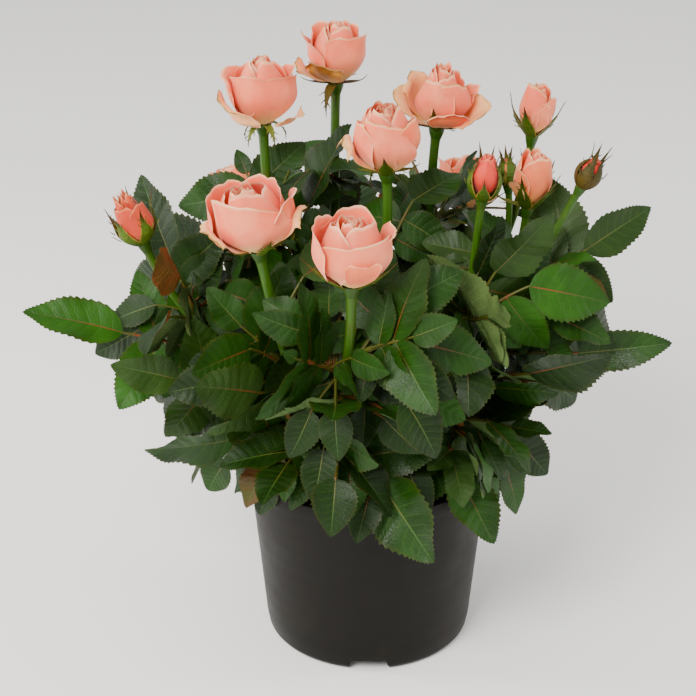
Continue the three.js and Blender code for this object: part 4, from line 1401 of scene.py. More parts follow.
@dataclass
class Wood:
    """The woody stumps with the relief of their bark, and the smooth flower stems with their hips."""

    wardrobe: Wardrobe
    rule: GrowthRule
    stump_sides: int = 26
    stump_rings: int = 44
    stem_sides: int = 12
    stem_rings: int = 34
    prickles: float = 1500.0
    prickles_end: float = 0.205

    def _stumps(self) -> Piece:
        """The four stumps, each with cut tips and a short dead snag."""
        writer = MeshWriter()
        shares = np.linspace(0, 1, self.stump_rings)
        for index, path in enumerate(self.rule.stumps):
            radii = np.interp(shares, [0, 0.1, 0.2, 0.6, 1], [4.9, 4.2, 3.4, 3.2, 3.05])
            turns = around(self.stump_sides)
            relief = np.array([[1 + 0.13 * noise.fractal(Vector((math.cos(a) * 2.4, math.sin(a) * 2.4,
                s * 5 + index * 9)), 0.8, 2.2, 4)
                + 0.05 * math.sin(5 * a + index + 2 * s) for a in turns] for s in shares])
            rings = path.points(self.stump_rings)
            rings[0] = rings[0] - UP * 2.5
            writer.tube(rings, radii, self.stump_sides, 0, relief, 1)
            random = SeededRandom(400 + index)
            for snag in range(2):
                at = 0.35 + 0.3 * snag
                heading = unit(vec(math.cos(index * 2 + snag * 3), math.sin(index * 2 + snag * 3), 0.9))
                foot = path.point(at)
                line = np.array([foot + heading * step for step in np.linspace(1.5, 6 + 3 * random(), 7)])
                knobs = 1 + 0.1 * np.array([[noise.noise(Vector((math.cos(a) * 2, math.sin(a) * 2,
                    s + index * 3 + snag))) for a in turns[::2]]
                    for s in range(7)])
                writer.tube(line, np.linspace(1.9, 1.35, 7), self.stump_sides // 2, 0, knobs, 1)
        return writer.piece("woody_stumps", [self.wardrobe.bark, self.wardrobe.cut_wood], 60)

    def _stems(self) -> Piece:
        """The flower stems, each with its nodes and its urn-shaped hip."""
        writer = MeshWriter()
        for number, flower in enumerate(FLOWERS):
            path, hip = self.rule.stems[flower.name], flower.hip
            neck = min(2.35, hip * 0.6)
            shares = np.linspace(0, 1, self.stem_rings)
            rings, radii = path.points(self.stem_rings), np.interp(shares, [0, 0.06, 1], [3.0, 2.6, neck])
            for knot in (0.18, 0.36, 0.55):
                radii = radii + 0.35 * np.exp(-((shares - knot - 0.02 * math.sin(number + 9 * knot))
                    / 0.014) ** 2)
            urn = np.array([0.6, 1.7, 2.9, 4.1, 5.3, 6.4])
            rings = np.concatenate([rings, path.point(1) + urn[:, None] * flower.axis])
            swell = neck + (hip * 1.06 - neck) * np.array([0.2, 0.42, 0.64, 0.84, 0.97, 1.0])
            radii = radii + (hip - neck) * 0.14 * np.clip((shares - 0.95) / 0.05, 0, 1) ** 1.5
            relief = np.array([1 + 0.03 * np.cos(5 * around(self.stem_sides) + number + 3 * s)
                for s in np.linspace(0, 1, len(rings))])
            writer.tube(rings, np.concatenate([radii, swell]), self.stem_sides, 0, relief)
            steps = len(rings) - 1
            slots = writer.slots[-2].copy()
            slots[(steps - len(urn) + 1) * self.stem_sides:] = 1
            writer.slots[-2] = slots
        return writer.piece("flower_stems", [self.wardrobe.stem, self.wardrobe.hip], 60)

    def _prickles(self, stems: Piece) -> Piece:
        """Small cone-shaped prickles, leaning downwards, strewn along the lower stems."""
        tree = GrowthTree("stem_prickles", Density=self.prickles, Smallest=0.5, Largest=1.0, Seed=8,
            Highest=self.prickles_end, Finish=self.wardrobe.prickle)
        height = tree.node("ShaderNodeSeparateXYZ", {0: tree.node("InputPosition").outputs[0]}).outputs[2]
        spots = tree.spots(tree.node("FunctionNodeCompare", {0: height, 1: tree.start["Highest"]},
            operation="LESS_THAN").outputs[0])
        thorn = tree.node("MeshCone", {"Vertices": 6, "Side Segments": 3, "Radius Top": 0.00005,
            "Radius Bottom": 0.0007, "Depth": 0.0026})
        upward = tree.node("ShaderNodeVectorMath", {0: spots.outputs["Normal"], 1: (0, 0, -0.35)}).outputs[0]
        lean = tree.node("FunctionNodeAlignRotationToVector", {"Vector": upward}, axis="Z").outputs[0]
        size = tree.varied("FLOAT", tree.start["Smallest"], tree.start["Largest"])
        return tree.strew(stems, spots, thorn, lean, size, "stem_prickles")

    def build(self) -> list[Piece]:
        """Builds and dresses stumps, stems and prickles."""
        stumps, stems = self._stumps(), self._stems()
        prickles = self._prickles(stems)
        return [settle(stumps, "bark", *[f"woody_stump_{side}"
            for side in ("front_left", "front_right", "back_left", "back_right")]),
            settle(stems, "green_stem", *[f"flower_stem_{flower.name}" for flower in FLOWERS]),
            settle(prickles, "green_stem")]


# ---------- Flowers ----------


@dataclass(frozen=True)
class Petal:
    """One petal: its place round the axis in degrees, and its form in shares of its flower's size."""

    at: float
    half_turn: float
    radius: float
    height: float
    closing: float = 0.94
    roll: float = 0.07
    skew: float = 0.0
    drop: float = 0.24
    tone: PetalTone = PetalTone.OUTER
    ruffle: float = 0.045
    point: float = 0.0
    sag: float = 0.0
    lap: float = 0.08
    foot: float = 0.22
    belly: float = 0.0

    def girth(self, share: Array, give: float = 1.0) -> Array:
        """How wide it stands at a share of its height, with its closing eased by a factor.

        Args:
            share: The share of its height.
            give: The factor on its closing.

        Returns:
            Its radius there, as a share of its widest.
        """
        belly = self.belly or min(1.0, 0.54 / self.height)
        swell = self.foot + (1 - self.foot) * (1 - np.clip(1 - share / belly, 0, 1) ** 1.85)
        return swell * (1 + give * (self.closing - 1) * np.clip((share - belly) / max(1 - belly, 0.05),
            0, 1) ** 1.5)


class SepalHabit(Enum):
    """How a sepal is held."""

    CLASPING, SPREADING, HANGING = range(3)


@dataclass(frozen=True)
class FlowerForm:
    """The petals and sepals of one flower, from its outer whorl inwards."""

    outer: tuple[Petal, ...]
    ring: tuple[float, float, float, float]
    heart: tuple[float, float, float, int]
    sepals: tuple[tuple[float, SepalHabit], ...]
    sepal_reach: float = 15
    dark_sepals: bool = False
    tone: PetalTone = PetalTone.HEART
    ragged: float = 0.0


C, S, H = SepalHabit
OUTER, HEART, FADED, CORAL, DRIED, WARM, SALMON = PetalTone
CUP = (Petal(-86, 1.2, 0.9, 0.78), Petal(12, 1.05, 0.93, 0.86, roll=0.12), Petal(96, 1.15, 0.88, 0.96, 0.86),
    Petal(178, 1.05, 0.92, 0.88, roll=0.14))


def cone(tone: PetalTone, wide: float = 0.7, tall: float = 0.84) -> tuple[Petal, ...]:
    """Three petals rolled into the closed cone of a bud.

    Args:
        tone: The tone of the petals.
        wide: Their width, as a share of the flower.
        tall: Their height, as a share of the flower.

    Returns:
        The petals.
    """
    return (Petal(-112, 1.5, wide, tall, 0.4, 0.02, tone=tone),
        Petal(0, 1.5, wide + 0.02, tall + 0.02, 0.4, 0.02, tone=tone),
        Petal(120, 1.5, wide, tall, 0.4, 0.02, tone=tone))


FORMS = {
    "front": FlowerForm((
        Petal(-84, 1.3, 0.9, 0.84, 0.95, 0.05, 0.12, 0.14), Petal(170, 1.1, 0.9, 0.98, 0.9, 0.09),
        Petal(84, 1.2, 0.84, 1.02, 0.8), Petal(2, 0.85, 0.92, 0.92, 0.96, 0.16),
        Petal(-75, 0.42, 1.02, 0.6, 0.97, 0.08, tone=WARM, ruffle=0.02, lap=0.02, drop=0.1)),
        (0.72, 1.0, 0.6, 200), (0.52, 1.05, 0.38, 30), ((-150, C), (-28, C), (62, S), (120, C), (195, C)),
        15),
    "front_left": FlowerForm((
        Petal(-74, 1.2, 0.92, 0.92, 0.92, 0.06, -0.36, 0.14),
        Petal(-168, 0.9, 0.95, 0.64, 1.0, 0.2, 0.1, tone=FADED), Petal(148, 1.15, 0.88, 1.02, 0.84),
        Petal(48, 1.15, 0.86, 1.0, 0.84, 0.08), Petal(-8, 0.8, 0.96, 0.88, 0.98, 0.14, tone=WARM),
        Petal(-2, 0.4, 1.0, 0.6, 1.06, 0.16, tone=FADED, lap=0.02)),
        (0.74, 1.03, 0.56, 150), (0.54, 1.05, 0.36, 100), ((-66, C), (-10, S), (70, C), (140, C), (-155, S)),
        15),
    "middle": FlowerForm((
        Petal(-104, 1.25, 0.9, 0.94, 0.66, 0.05, -0.06), Petal(-14, 1.05, 0.95, 0.88, 0.74, 0.08, tone=WARM),
        Petal(96, 1.35, 0.86, 1.02, 0.54, 0.03), Petal(-164, 0.9, 0.9, 0.88, 0.76),
        Petal(-166, 0.42, 0.98, 0.74, 0.86, 0.42, drop=0.3, tone=FADED, lap=0.02, point=0.1)),
        (0.74, 1.04, 0.42, 120), (0.54, 1.06, 0.28, 60), ((-92, C), (-8, S), (62, C), (140, H), (-175, S)),
        17),
    "back_left": FlowerForm((
        Petal(-84, 1.35, 0.94, 0.95, 0.9, 0.14, 0.0, 0.1), Petal(168, 1.0, 0.92, 0.92, 1.0, 0.24),
        Petal(12, 1.05, 0.92, 0.9, 0.92, 0.14), Petal(92, 1.2, 0.84, 0.9, 0.9),
        Petal(-137, 0.8, 1.02, 0.52, 1.26, 0.2, -0.3, 0.3, FADED, sag=0.07, lap=0.02, belly=0.5, foot=0.42),
        Petal(-32, 0.5, 1.0, 0.26, 1.3, 0.08, 0.2, 0.3, FADED, 0.06, sag=0.06, lap=0.02,
        belly=0.5, foot=0.42)),
        (0.74, 1.07, 0.44, 190), (0.54, 1.1, 0.3, 80), ((-130, H), (-60, H), (20, H), (90, H), (165, H)), 14),
    "top": FlowerForm((
        Petal(-52, 1.15, 0.92, 0.94, 0.93, 0.08, drop=0.16),
        Petal(-164, 0.95, 0.98, 0.86, 1.14, 0.1, point=0.14), Petal(64, 1.15, 0.88, 0.98, 0.84),
        Petal(150, 1.05, 0.85, 0.98, 0.9),
        Petal(-118, 0.66, 1.04, 0.5, 1.14, 0.12, tone=DRIED, ruffle=0.2, lap=0.02, belly=0.7),
        Petal(-158, 0.5, 1.04, 0.34, 1.35, 0.08, -0.3, tone=FADED, ruffle=0.08, lap=0.02, belly=0.55)),
        (0.74, 1.03, 0.52, 170), (0.54, 1.05, 0.36, 40), ((-160, S), (-112, H), (-12, S), (60, S), (130, S)),
        19, True),
    "rear_left": FlowerForm(CUP, (0.7, 0.98, 0.72, 60), (0.5, 1.02, 0.48, 10),
        ((-90, C), (-10, C), (60, S), (130, C), (200, S)), 15),
    "back_right": FlowerForm((
        Petal(-124, 1.05, 0.9, 0.84, 0.74, 0.04, 0.1), Petal(-52, 1.05, 0.94, 0.82, 0.76, 0.05, -0.1),
        Petal(148, 0.75, 0.96, 0.8, 1.06, 0.18, tone=FADED, point=0.08), Petal(44, 1.0, 0.86, 0.84, 0.86),
        Petal(-162, 0.55, 1.02, 0.5, 1.46, 0.1, -0.5, tone=FADED, ruffle=0.06, lap=0.02, belly=0.5),
        Petal(-18, 0.6, 1.04, 0.42, 1.5, 0.08, 0.5, tone=FADED, ruffle=0.09, lap=0.02, belly=0.5),
        Petal(-74, 0.66, 1.0, 0.42, 1.1, 0.12, tone=WARM, lap=0.02, belly=0.7),
        Petal(22, 0.5, 0.98, 0.66, 1.3, 0.1, lap=0.02, belly=0.5)),
        (0.62, 0.92, 0.52, 170), (0.42, 1.07, 0.55, 60), ((-105, C), (-20, S), (40, S), (120, S), (190, S)),
        17, True),
    "rear_right": FlowerForm(CUP, (0.7, 0.98, 0.72, 10), (0.5, 1.02, 0.48, 70),
        ((-90, S), (-10, C), (60, C), (130, C), (200, S)), 15),
    "left": FlowerForm((
        Petal(-118, 1.25, 0.9, 0.8, 0.62, 0.03, tone=SALMON, ruffle=0.06, belly=0.4),
        Petal(-24, 1.2, 0.94, 0.74, 0.74, 0.05, tone=SALMON, ruffle=0.06, belly=0.4),
        Petal(70, 1.2, 0.9, 0.82, 0.6, tone=SALMON, belly=0.4),
        Petal(158, 1.1, 0.88, 0.8, 0.64, tone=SALMON, belly=0.4)),
        (0.56, 0.92, 0.56, 200), (0.4, 1.0, 0.66, 90), ((-52, C), (-122, C), (20, C), (95, C), (168, C)), 22,
        False, SALMON, 0.14),
    "right": FlowerForm((
        Petal(-70, 1.3, 0.94, 0.94, 0.76, 0.06, 0.06, tone=WARM, ruffle=0.05),
        Petal(30, 1.2, 0.92, 0.9, 0.74, 0.08), Petal(120, 1.2, 0.9, 0.94, 0.66),
        Petal(-158, 1.0, 0.95, 0.7, 0.92, 0.1, tone=WARM, ruffle=0.08),
        Petal(-140, 0.5, 1.0, 0.5, 1.02, 0.14, tone=FADED, ruffle=0.1, lap=0.02)),
        (0.62, 0.98, 0.56, 200), (0.46, 1.0, 0.4, 90), ((-28, C), (-120, C), (40, C), (110, C), (180, S)),
        22),
    "right_tall": FlowerForm((
        Petal(-128, 1.4, 0.94, 1.0, 0.62, 0.03, drop=0.3), Petal(-40, 1.1, 0.98, 0.76, 0.9, 0.08, point=0.06),
        Petal(60, 1.3, 0.9, 0.92, 0.66), Petal(-62, 0.45, 1.0, 0.66, 0.96, 0.06, lap=0.02, point=0.05)),
        (0.6, 0.96, 0.5, 200), (0.4, 1.0, 0.34, 90), ((-122, C), (-14, C), (60, C), (120, S), (178, C)), 19),
    "right_front": FlowerForm((
        Petal(-112, 1.5, 0.8, 0.9, 0.42, 0.02, tone=CORAL), Petal(0, 1.5, 0.82, 0.96, 0.4, 0.02, tone=CORAL),
        Petal(120, 1.5, 0.8, 0.94, 0.4, 0.02, tone=CORAL)),
        (0.5, 0.98, 0.36, 200), (0.34, 1.0, 0.3, 90), ((-18, C), (-164, C), (-92, C), (52, C), (124, C)), 24,
        False, CORAL),
    "far_right": FlowerForm(cone(CORAL), (0.5, 0.88, 0.3, 200), (0.34, 0.9, 0.3, 90),
        ((-110, C), (-50, C), (20, C), (92, C), (168, C)), 22, True, CORAL),
    "small": FlowerForm(cone(WARM), (0.5, 0.88, 0.3, 200), (0.34, 0.9, 0.3, 90),
        ((-140, C), (-62, C), (8, C), (80, C), (150, C)), 19, False, CORAL),
}


def waves(across: Array, phase: float, *rows: Triple) -> Array:
    """A sum of waves, each with its height, how often it turns and its share of the phase.

    Args:
        across: The places across.
        phase: Where the waves start.
        rows: Each wave's height, number of turns and share of the phase.

    Returns:
        The sum at each place.
    """
    return sum(height * np.sin(often * across + share * phase) for height, often, share in rows)


@dataclass
class Flowers:
    """All blooms, opening flowers and buds: whorls of petals round a coiled heart, and feathery sepals."""

    wardrobe: Wardrobe
    rows: int = 16
    columns: int = 19
    thickness: float = 0.4

    def _petal(self, writer: MeshWriter, flower: FlowerPlan, petal: Petal, inner_tone: PetalTone,
            phase: float) -> None:
        """Adds one petal as a thin closed shell.

        Args:
            writer: The writer of its faces.
            flower: Its flower.
            petal: Its form.
            inner_tone: The tone of its inner face.
            phase: Where its ruffles start.
        """
        body, tall = flower.size[0] / 2, flower.size[1]
        t, s = np.meshgrid(np.linspace(0, 1, self.rows) ** 0.9,
            np.sin(np.linspace(-1, 1, self.columns) * 1.35) / math.sin(1.35), indexing="ij")
        flap = petal.lap <= 0.05
        far = t * (1 - 0.4 * np.abs(s) ** 3) if petal.closing > 1.15 else t
        free = np.abs(s) if flap else s
        lip, edge = np.clip((far - 0.74) / 0.26, 0, 1), np.clip((free - 0.6) / 0.4, 0, 1)
        roll = petal.roll * body
        radius = petal.radius * body * petal.girth(far) * (1 + petal.lap * s)
        ruffle = petal.ruffle * body * waves(s, phase, (1, 4.4, 1), (0.45, 11, 2), (0.2, 21, 4)) * t ** 3
        dents = 0.016 * body * np.sin(2.6 * s + 2.2 * phase + 3 * t) * np.sin(math.pi * t)
        side_roll = 0.5 * roll * edge ** 2 * np.clip(t * 1.6 - 0.4, 0, 1)
        radius = radius + roll * lip ** 2 * (1 - 0.3 * np.abs(s)) + side_roll + ruffle + dents
        rise = t * (1 - petal.drop * np.abs(s) ** 3.4 + petal.skew * s * t
            + petal.point * np.exp(-(s / 0.16) ** 2) * t ** 4)
        tall_here = tall * petal.height * (rise - petal.sag * 2 * np.sin(math.pi * t) * (1 - 0.4 * np.abs(s)))
        crinkle = waves(s, phase, (0.026, 3.7, 1.7), (0.011, 9.1, 3.1), (0.007, 17, 5.3))
        tall_here = tall_here - 0.8 * roll * lip ** 3 + 0.5 * ruffle + tall * crinkle * t ** 4
        claw = 0.35 + 0.65 * np.clip(t / 0.4, 0, 1) ** 0.7
        angle = math.radians(petal.at) + s * petal.half_turn * claw
        outer = np.stack([radius * np.cos(angle), radius * np.sin(angle), tall_here], 2)
        normal = np.cross(np.gradient(outer, axis=1), np.gradient(outer, axis=0))
        normal /= np.maximum(np.linalg.norm(normal, axis=2), 1e-9)[..., None]
        inner = outer - normal * (self.thickness * (1 - 0.5 * t))[..., None]
        writer.shell(flower.place(outer), flower.place(inner), s * 0.5 + 0.5, t,
            (petal.tone.value, inner_tone.value), pinch=False)

    def _bloom(self, writer: MeshWriter, flower: FlowerPlan, form: FlowerForm, seed: int) -> None:
        """Adds the petals of one flower: its heart, the ring round it and its outer whorl.

        Args:
            writer: The writer of its faces.
            flower: Its plan.
            form: Its petals and sepals.
            seed: Its seed.
        """
        random = SeededRandom(700 + seed * 17)
        share, height, closing, start = form.heart
        count = 7 if flower.kind is FlowerKind.BLOOM else 5
        for index in range(count):
            out = index / (count - 1)
            ragged = form.ragged * random()
            self._petal(writer, flower, Petal(
                start + index * 137.5, mix(2.3, 1.35, out), share * mix(0.22, 1, out ** 0.8),
                height * (mix(0.95, 1, out) - 0.05 * random()) * (1 - ragged),
                mix(0.5, 1, out) * closing + 0.08, 0.03, 0, mix(0.3, 0.22, out), form.tone,
                0.02 + form.ragged * 0.5, form.ragged * 1.2, lap=mix(0.36, 0.18, out), foot=0.4),
                form.tone, random(0, 6.28))
        share, height, closing, start = form.ring
        for index in range(3):
            self._petal(writer, flower, Petal(
                start + index * 120 + random(-8, 8), 1.3, share * random(0.96, 1.04),
                height * random(0.95, 1.02), closing,
                0.04, random(-0.06, 0.06), 0.28, form.tone, 0.03 + form.ragged * 0.4, form.ragged, lap=0.13,
                foot=0.3), form.tone, random(0, 6.28))
        for petal in form.outer:
            inside = petal.tone if petal.tone in (FADED, DRIED, CORAL, SALMON) else HEART
            self._petal(writer, flower, petal, inside, random(0, 6.28))

    def _sepal(self, writer: MeshWriter, flower: FlowerPlan, form: FlowerForm, at: float, habit: SepalHabit,
            random: SeededRandom) -> None:
        """Adds one sepal, with side threads on most.

        Args:
            writer: The writer of its faces.
            flower: Its flower.
            form: The flower's form.
            at: Its place round the hip, in degrees.
            habit: How it is held.
            random: Its stream of numbers.
        """
        rows, body, tall = 14, flower.size[0] / 2, flower.size[1]
        t = np.linspace(0, 1, rows)
        reach = form.sepal_reach * random(0.9, 1.1) * (0.5 if at == -92 and form.tone is CORAL else 1)
        foot = flower.hip * 0.72
        if habit is SepalHabit.CLASPING:
            rise = reach * t
            first = form.outer[0]
            hug = 1.09 * first.radius * body * first.girth(rise / (tall * first.height), 0.7) + 0.7 + 2 * t
            bud = flower.kind is FlowerKind.BUD
            if bud:
                hug = body * (0.5 + 0.55 * np.sin(np.clip(rise / tall * 1.25, 0, 1) * math.pi) ** 0.8) + 0.3
            flare = reach * (0.1 if bud else 0.22) * np.clip((t - 0.6) / 0.4, 0, 1) ** 1.6
            out = np.maximum(hug, foot) + flare * random(0.3, 1.3)
            rise = rise - 1.5 * (1 - t)
        else:
            hanging = habit is SepalHabit.HANGING
            bend = random(1.7, 2.2) if hanging else random(0.9, 1.25)
            out = foot + reach * np.sin(t * bend) / bend
            lift = (np.cos(t * bend) - 1) / bend if hanging else (
                0.12 * t + 0.3 * t ** 2.6 * random(0.4, 1.5))
            rise = -1.0 + reach * lift
        sway = reach * 0.08 * random(-1, 1) * t ** 2
        spine = np.stack([out, sway, rise], 1)
        ahead = np.gradient(spine, axis=0)
        ahead /= np.linalg.norm(ahead, axis=1)[:, None]
        face = np.cross(vec(0, 1, 0), ahead)
        broad = {C: 4.2, S: 2.6, H: 2.4}[habit] * (reach / 16) ** 0.5 * min(1, flower.hip / 3)
        swell = 0.72 + 0.4 * np.sin(np.clip(t * 1.6, 0, 1) * math.pi)
        half = broad * np.clip(1 - t ** 1.25, 0.03, 1) ** 1.15 * swell
        dark = form.dark_sepals and (habit is not SepalHabit.CLASPING or flower.kind is FlowerKind.BUD)
        slots = (2, 2) if dark else (0, 1)
        self._ribbon(writer, flower, at, spine, face, half, slots)
        if random() < 0.3:
            return
        for index in range(5):
            place, hand = 0.34 + 0.1 * index + 0.02 * random(), 1 if index % 2 else -1
            row = int(place * (rows - 1))
            direction = unit(ahead[row] * 0.8 + vec(0, hand, 0) * 0.9)
            length, steps = reach * random(0.16, 0.3) * (1.15 - place), np.linspace(0, 1, 6)[:, None]
            start = spine[row] + vec(0, hand * half[row] * 0.6, 0)
            line = start + direction * steps * length + ahead[row] * steps ** 2 * length * 0.35
            self._ribbon(writer, flower, at, line, np.repeat(face[row][None], 6, 0),
                0.5 * (1 - steps.ravel() * 0.85), slots, np.cross(face[row], direction))

    def _ribbon(self, writer: MeshWriter, flower: FlowerPlan, at: float, spine: Array,
            face: Array, half: Array, slots: tuple[int, int], across: Array | None = None) -> None:
        """Adds a narrow pointed blade along a line on the flower's own axes.

        Args:
            writer: The writer of its faces.
            flower: Its flower.
            at: The turn round the flower's axis that it is given, in degrees.
            spine: Its middle line.
            face: The direction of its outer face, for each point of the line.
            half: Half its width, for each point.
            slots: The material slots of its outer and inner face.
            across: The direction of its width, where it isn't square to the radius.
        """
        s = np.array([-1, -0.5, 0, 0.5, 1])
        width = vec(0, 1, 0) if across is None else unit(across)
        wide, hollow = half[:, None, None], (np.abs(s) ** 1.5)[None, :, None]
        outer = spine[:, None] + s[None, :, None] * wide * width - face[:, None] * (0.4 * wide * hollow)
        inner = outer - face[:, None] * 0.34
        turn = math.radians(at)
        rotation = np.array([[math.cos(turn), math.sin(turn), 0],
            [-math.sin(turn), math.cos(turn), 0], [0, 0, 1]])
        v, u = np.meshgrid(np.linspace(0, 1, len(spine)), s * 0.5 + 0.5, indexing="ij")
        writer.shell(flower.place(outer @ rotation), flower.place(inner @ rotation), u, v, slots, pinch=False)

    def build(self) -> list[Piece]:
        """Builds and dresses blooms, buds and sepals."""
        blooms, buds, sepals = MeshWriter(), MeshWriter(), MeshWriter()
        for index, flower in enumerate(FLOWERS):
            form, random = FORMS[flower.name], SeededRandom(90 + index)
            self._bloom(buds if flower.kind is FlowerKind.BUD else blooms, flower, form, index)
            for at, habit in form.sepals:
                self._sepal(sepals, flower, form, at, habit, random)
        names = {kind: [flower.node for flower in FLOWERS if (flower.kind is FlowerKind.BUD) == kind]
            for kind in (True, False)}
        return [
            settle(blooms.piece("bloom_petals", self.wardrobe.petal, 80), "petals", *names[False]),
            settle(buds.piece("bud_petals", self.wardrobe.petal, 80), "buds", *names[True]),
            settle(sepals.piece("sepals", self.wardrobe.sepal, 70), "green_stem"),
        ]


# ---------- Foliage ----------


@dataclass
class BladeStyle:
    """How one leaflet bends, in shares of its size and radians."""

    fold: float
    curl: float
    wave: float
    phase: float
    twist: float
    sweep: float


@dataclass
class Foliage:
    """Every compound leaf: those of the solids, and smaller ones between them within the same reach."""

    wardrobe: Wardrobe
    rule: GrowthRule
    corners: dict[str, Array]
    rows: int = 36
    veins: int = 9
    thickness: float = 0.4
    shear: float = 0.17
    tooth: float = 0.085
    short_rows: int = 27
    short: float = 26
    red_ribs: float = 0.45
    red_undersides: float = 0.06
    lowest_tip: float = 64
    margin: float = 1.5
    trims = {
        (322, 2): (0.8, 0, 1), (308, 0): (0.55, 0, 1.2), (322, 0): (1, 0, 1.12), (108, 0): (0.62, 0, 1),
        (201, 0): (0.7, 0, 1), (401, 2): (0.55, 0, 0.9), (401, 0): (0.6, 0, 0.9), (22, 0): (1, 0.3, 0.78),
        (22, 1): (0.85, 0, 0.8), (518, 0): (1, 0.4, 0.86), (518, 1): (0.75, 0, 0.9), (494, 0): (1, 0.3, 0.7),
        (442, 0): (0.6, 0, 1), (370, 0): (0.85, 0.3, 0.9), (60, 0): (0.8, 0.3, 0.9),
    }
    dealt = {322: LeafTone.MID, 384: LeafTone.MID}
    leaves: list[tuple[str, LeafPlan]] = field(default_factory=list)
    taken: list[Shape] = field(default_factory=list)

    regions = {
        "left": ("left_far", "left_mid", "left_upper", "left_low"),
        "front_left": ("heart_left", "front_left", "front_left_low", "heart_front_left"),
        "front": ("front_centre", "front_low", "heart_front_right", "front_right_low"),
        "right": ("front_right", "right_mid", "right_low", "right_far", "right_upper", "heart_right"),
        "top": ("top_centre", "top_right", "top_left"),
        "rear": ("rear_left", "rear", "rear_right", "rear_low_left", "rear_low_right"),
    }
    eighths = ("right", "rear", "rear", "left", "left", "front_left", "front", "right")

    def style_of(self, leaflet: LeafletPlan) -> BladeStyle:
        """How a leaflet bends, from its own seed.

        Args:
            leaflet: The leaflet.

        Returns:
            Its style.
        """
        random = SeededRandom(leaflet.seed)
        fold = random(0.06, 0.42)
        curl = 0.08 if leaflet.keeps_reach else random(0.02, 0.25)
        return BladeStyle(fold, curl, random(0.02, 0.08), random(0, 6.28), random(-0.4, 0.4),
            random(-0.07, 0.07))

    def outline(self, along: Array) -> Array:
        """Half the width of a leaflet along its length, as a share of its width."""
        a = np.clip(along, 0, 1)
        return 0.5 * (a ** 0.6) * ((1 - a) ** 0.92) / (0.3947 ** 0.6 * 0.6053 ** 0.92)

    def blade(self, leaflet: LeafletPlan, rows: int, columns: Array,
            teeth: bool) -> tuple[Array, Array, Array, Array]:
        """The points of one leaflet, on rows that follow its side veins.

        Args:
            leaflet: The leaflet.
            rows: Steps along its length.
            columns: The places across it, from -1 to 1.
            teeth: Whether its margin is toothed and its face quilted.

        Returns:
            The upper points, the lower points and the two pattern coordinates.
        """
        style = self.style_of(leaflet)
        length, width = leaflet.length, leaflet.width
        v, u = np.meshgrid(np.linspace(0, 1, rows + 1), columns, indexing="ij")
        along = np.clip(v + self.shear * np.abs(u) * np.sin(math.pi * v), 0, 1)
        half = self.outline(along) * width
        x = u * half
        row = np.arange(rows + 1)[:, None]
        if teeth:
            is_tooth = (row % 2 == 1) & (row > 1) & (row < rows - 1) & (np.abs(u) > 0.99)
            x = np.where(is_tooth, x * (1 + self.tooth), x)
            along = np.where(is_tooth, along + 0.6 / rows, along)
        y = along * length
        a = np.abs(x)
        z = style.fold * a * (1 - 0.3 * np.abs(u)) - style.curl * length * along ** 2
        turn = 2 * math.pi * 2.1 * along + style.phase + np.where(u < 0, 1.7, 0)
        z = z + style.wave * width * u ** 2 * np.sin(turn) * np.sin(math.pi * v)
        if teeth:
            period = rows / self.veins
            between = np.clip(1 - np.abs(np.abs(u) - 0.5) * 2, 0, 1)
            z = z - 0.012 * width * np.cos(2 * math.pi * row / period) * between * np.sin(math.pi * v)
            z = z - np.where(np.abs(u) < 0.1, 0.012 * width * np.sin(math.pi * np.clip(v, 0, 1)), 0)
        angle = style.twist * along
        x, z = x * np.cos(angle) - z * np.sin(angle) * 0.4, z + x * np.sin(angle)
        x = x + style.sweep * length * along ** 2
        thick = self.thickness * (1 - u ** 4) * (1 + np.where(np.abs(u) < 0.1, 1.1 * (1 - v), 0))
        side = unit(np.cross(leaflet.forward, leaflet.normal))
        face = unit(np.cross(side, leaflet.forward))
        upper = leaflet.foot + x[..., None] * side + y[..., None] * leaflet.forward + z[..., None] * face
        return upper, upper - thick[..., None] * face, u * 0.5 + 0.5, v

    def _face_light(self, leaflet: LeafletPlan) -> None:
        """Turns a leaflet over where its upper face looks away from the light above and in front."""
        light = UP + 0.5 * unit(leaflet.foot * vec(1, 1, 0.001)) - vec(0, 0.8, 0)
        if leaflet.normal @ light < -0.1:
            leaflet.normal = -leaflet.normal

    def _take(self, points: Array, faces: Sequence[Sequence[int]]) -> Shape:
        """A coarse shape that others keep clear of: its box and its tree."""
        return points.min(0), points.max(0), BVHTree.FromPolygons([tuple(p) for p in points], faces)

    def _coarse(self, leaflet: LeafletPlan) -> Shape:
        """A leaflet's coarse shape.

        Args:
            leaflet: The leaflet.

        Returns:
            Its box and its tree.
        """
        upper = self.blade(leaflet, 6, np.array([-1, -0.5, 0, 0.5, 1]), False)[0]
        corners = np.arange(upper.size // 3).reshape(upper.shape[:2])
        return self._take(upper.reshape(-1, 3), cells(corners).reshape(-1, 4).tolist())

    def _is_clear(self, shape: Shape) -> bool:
        """Whether a coarse shape crosses nothing that is taken.

        Args:
            shape: The coarse shape.

        Returns:
            Whether it is.
        """
        low, high, tree = shape
        for other_low, other_high, other in self.taken:
            if (low <= other_high).all() and (high >= other_low).all() and tree.overlap(other):
                return False
        return True

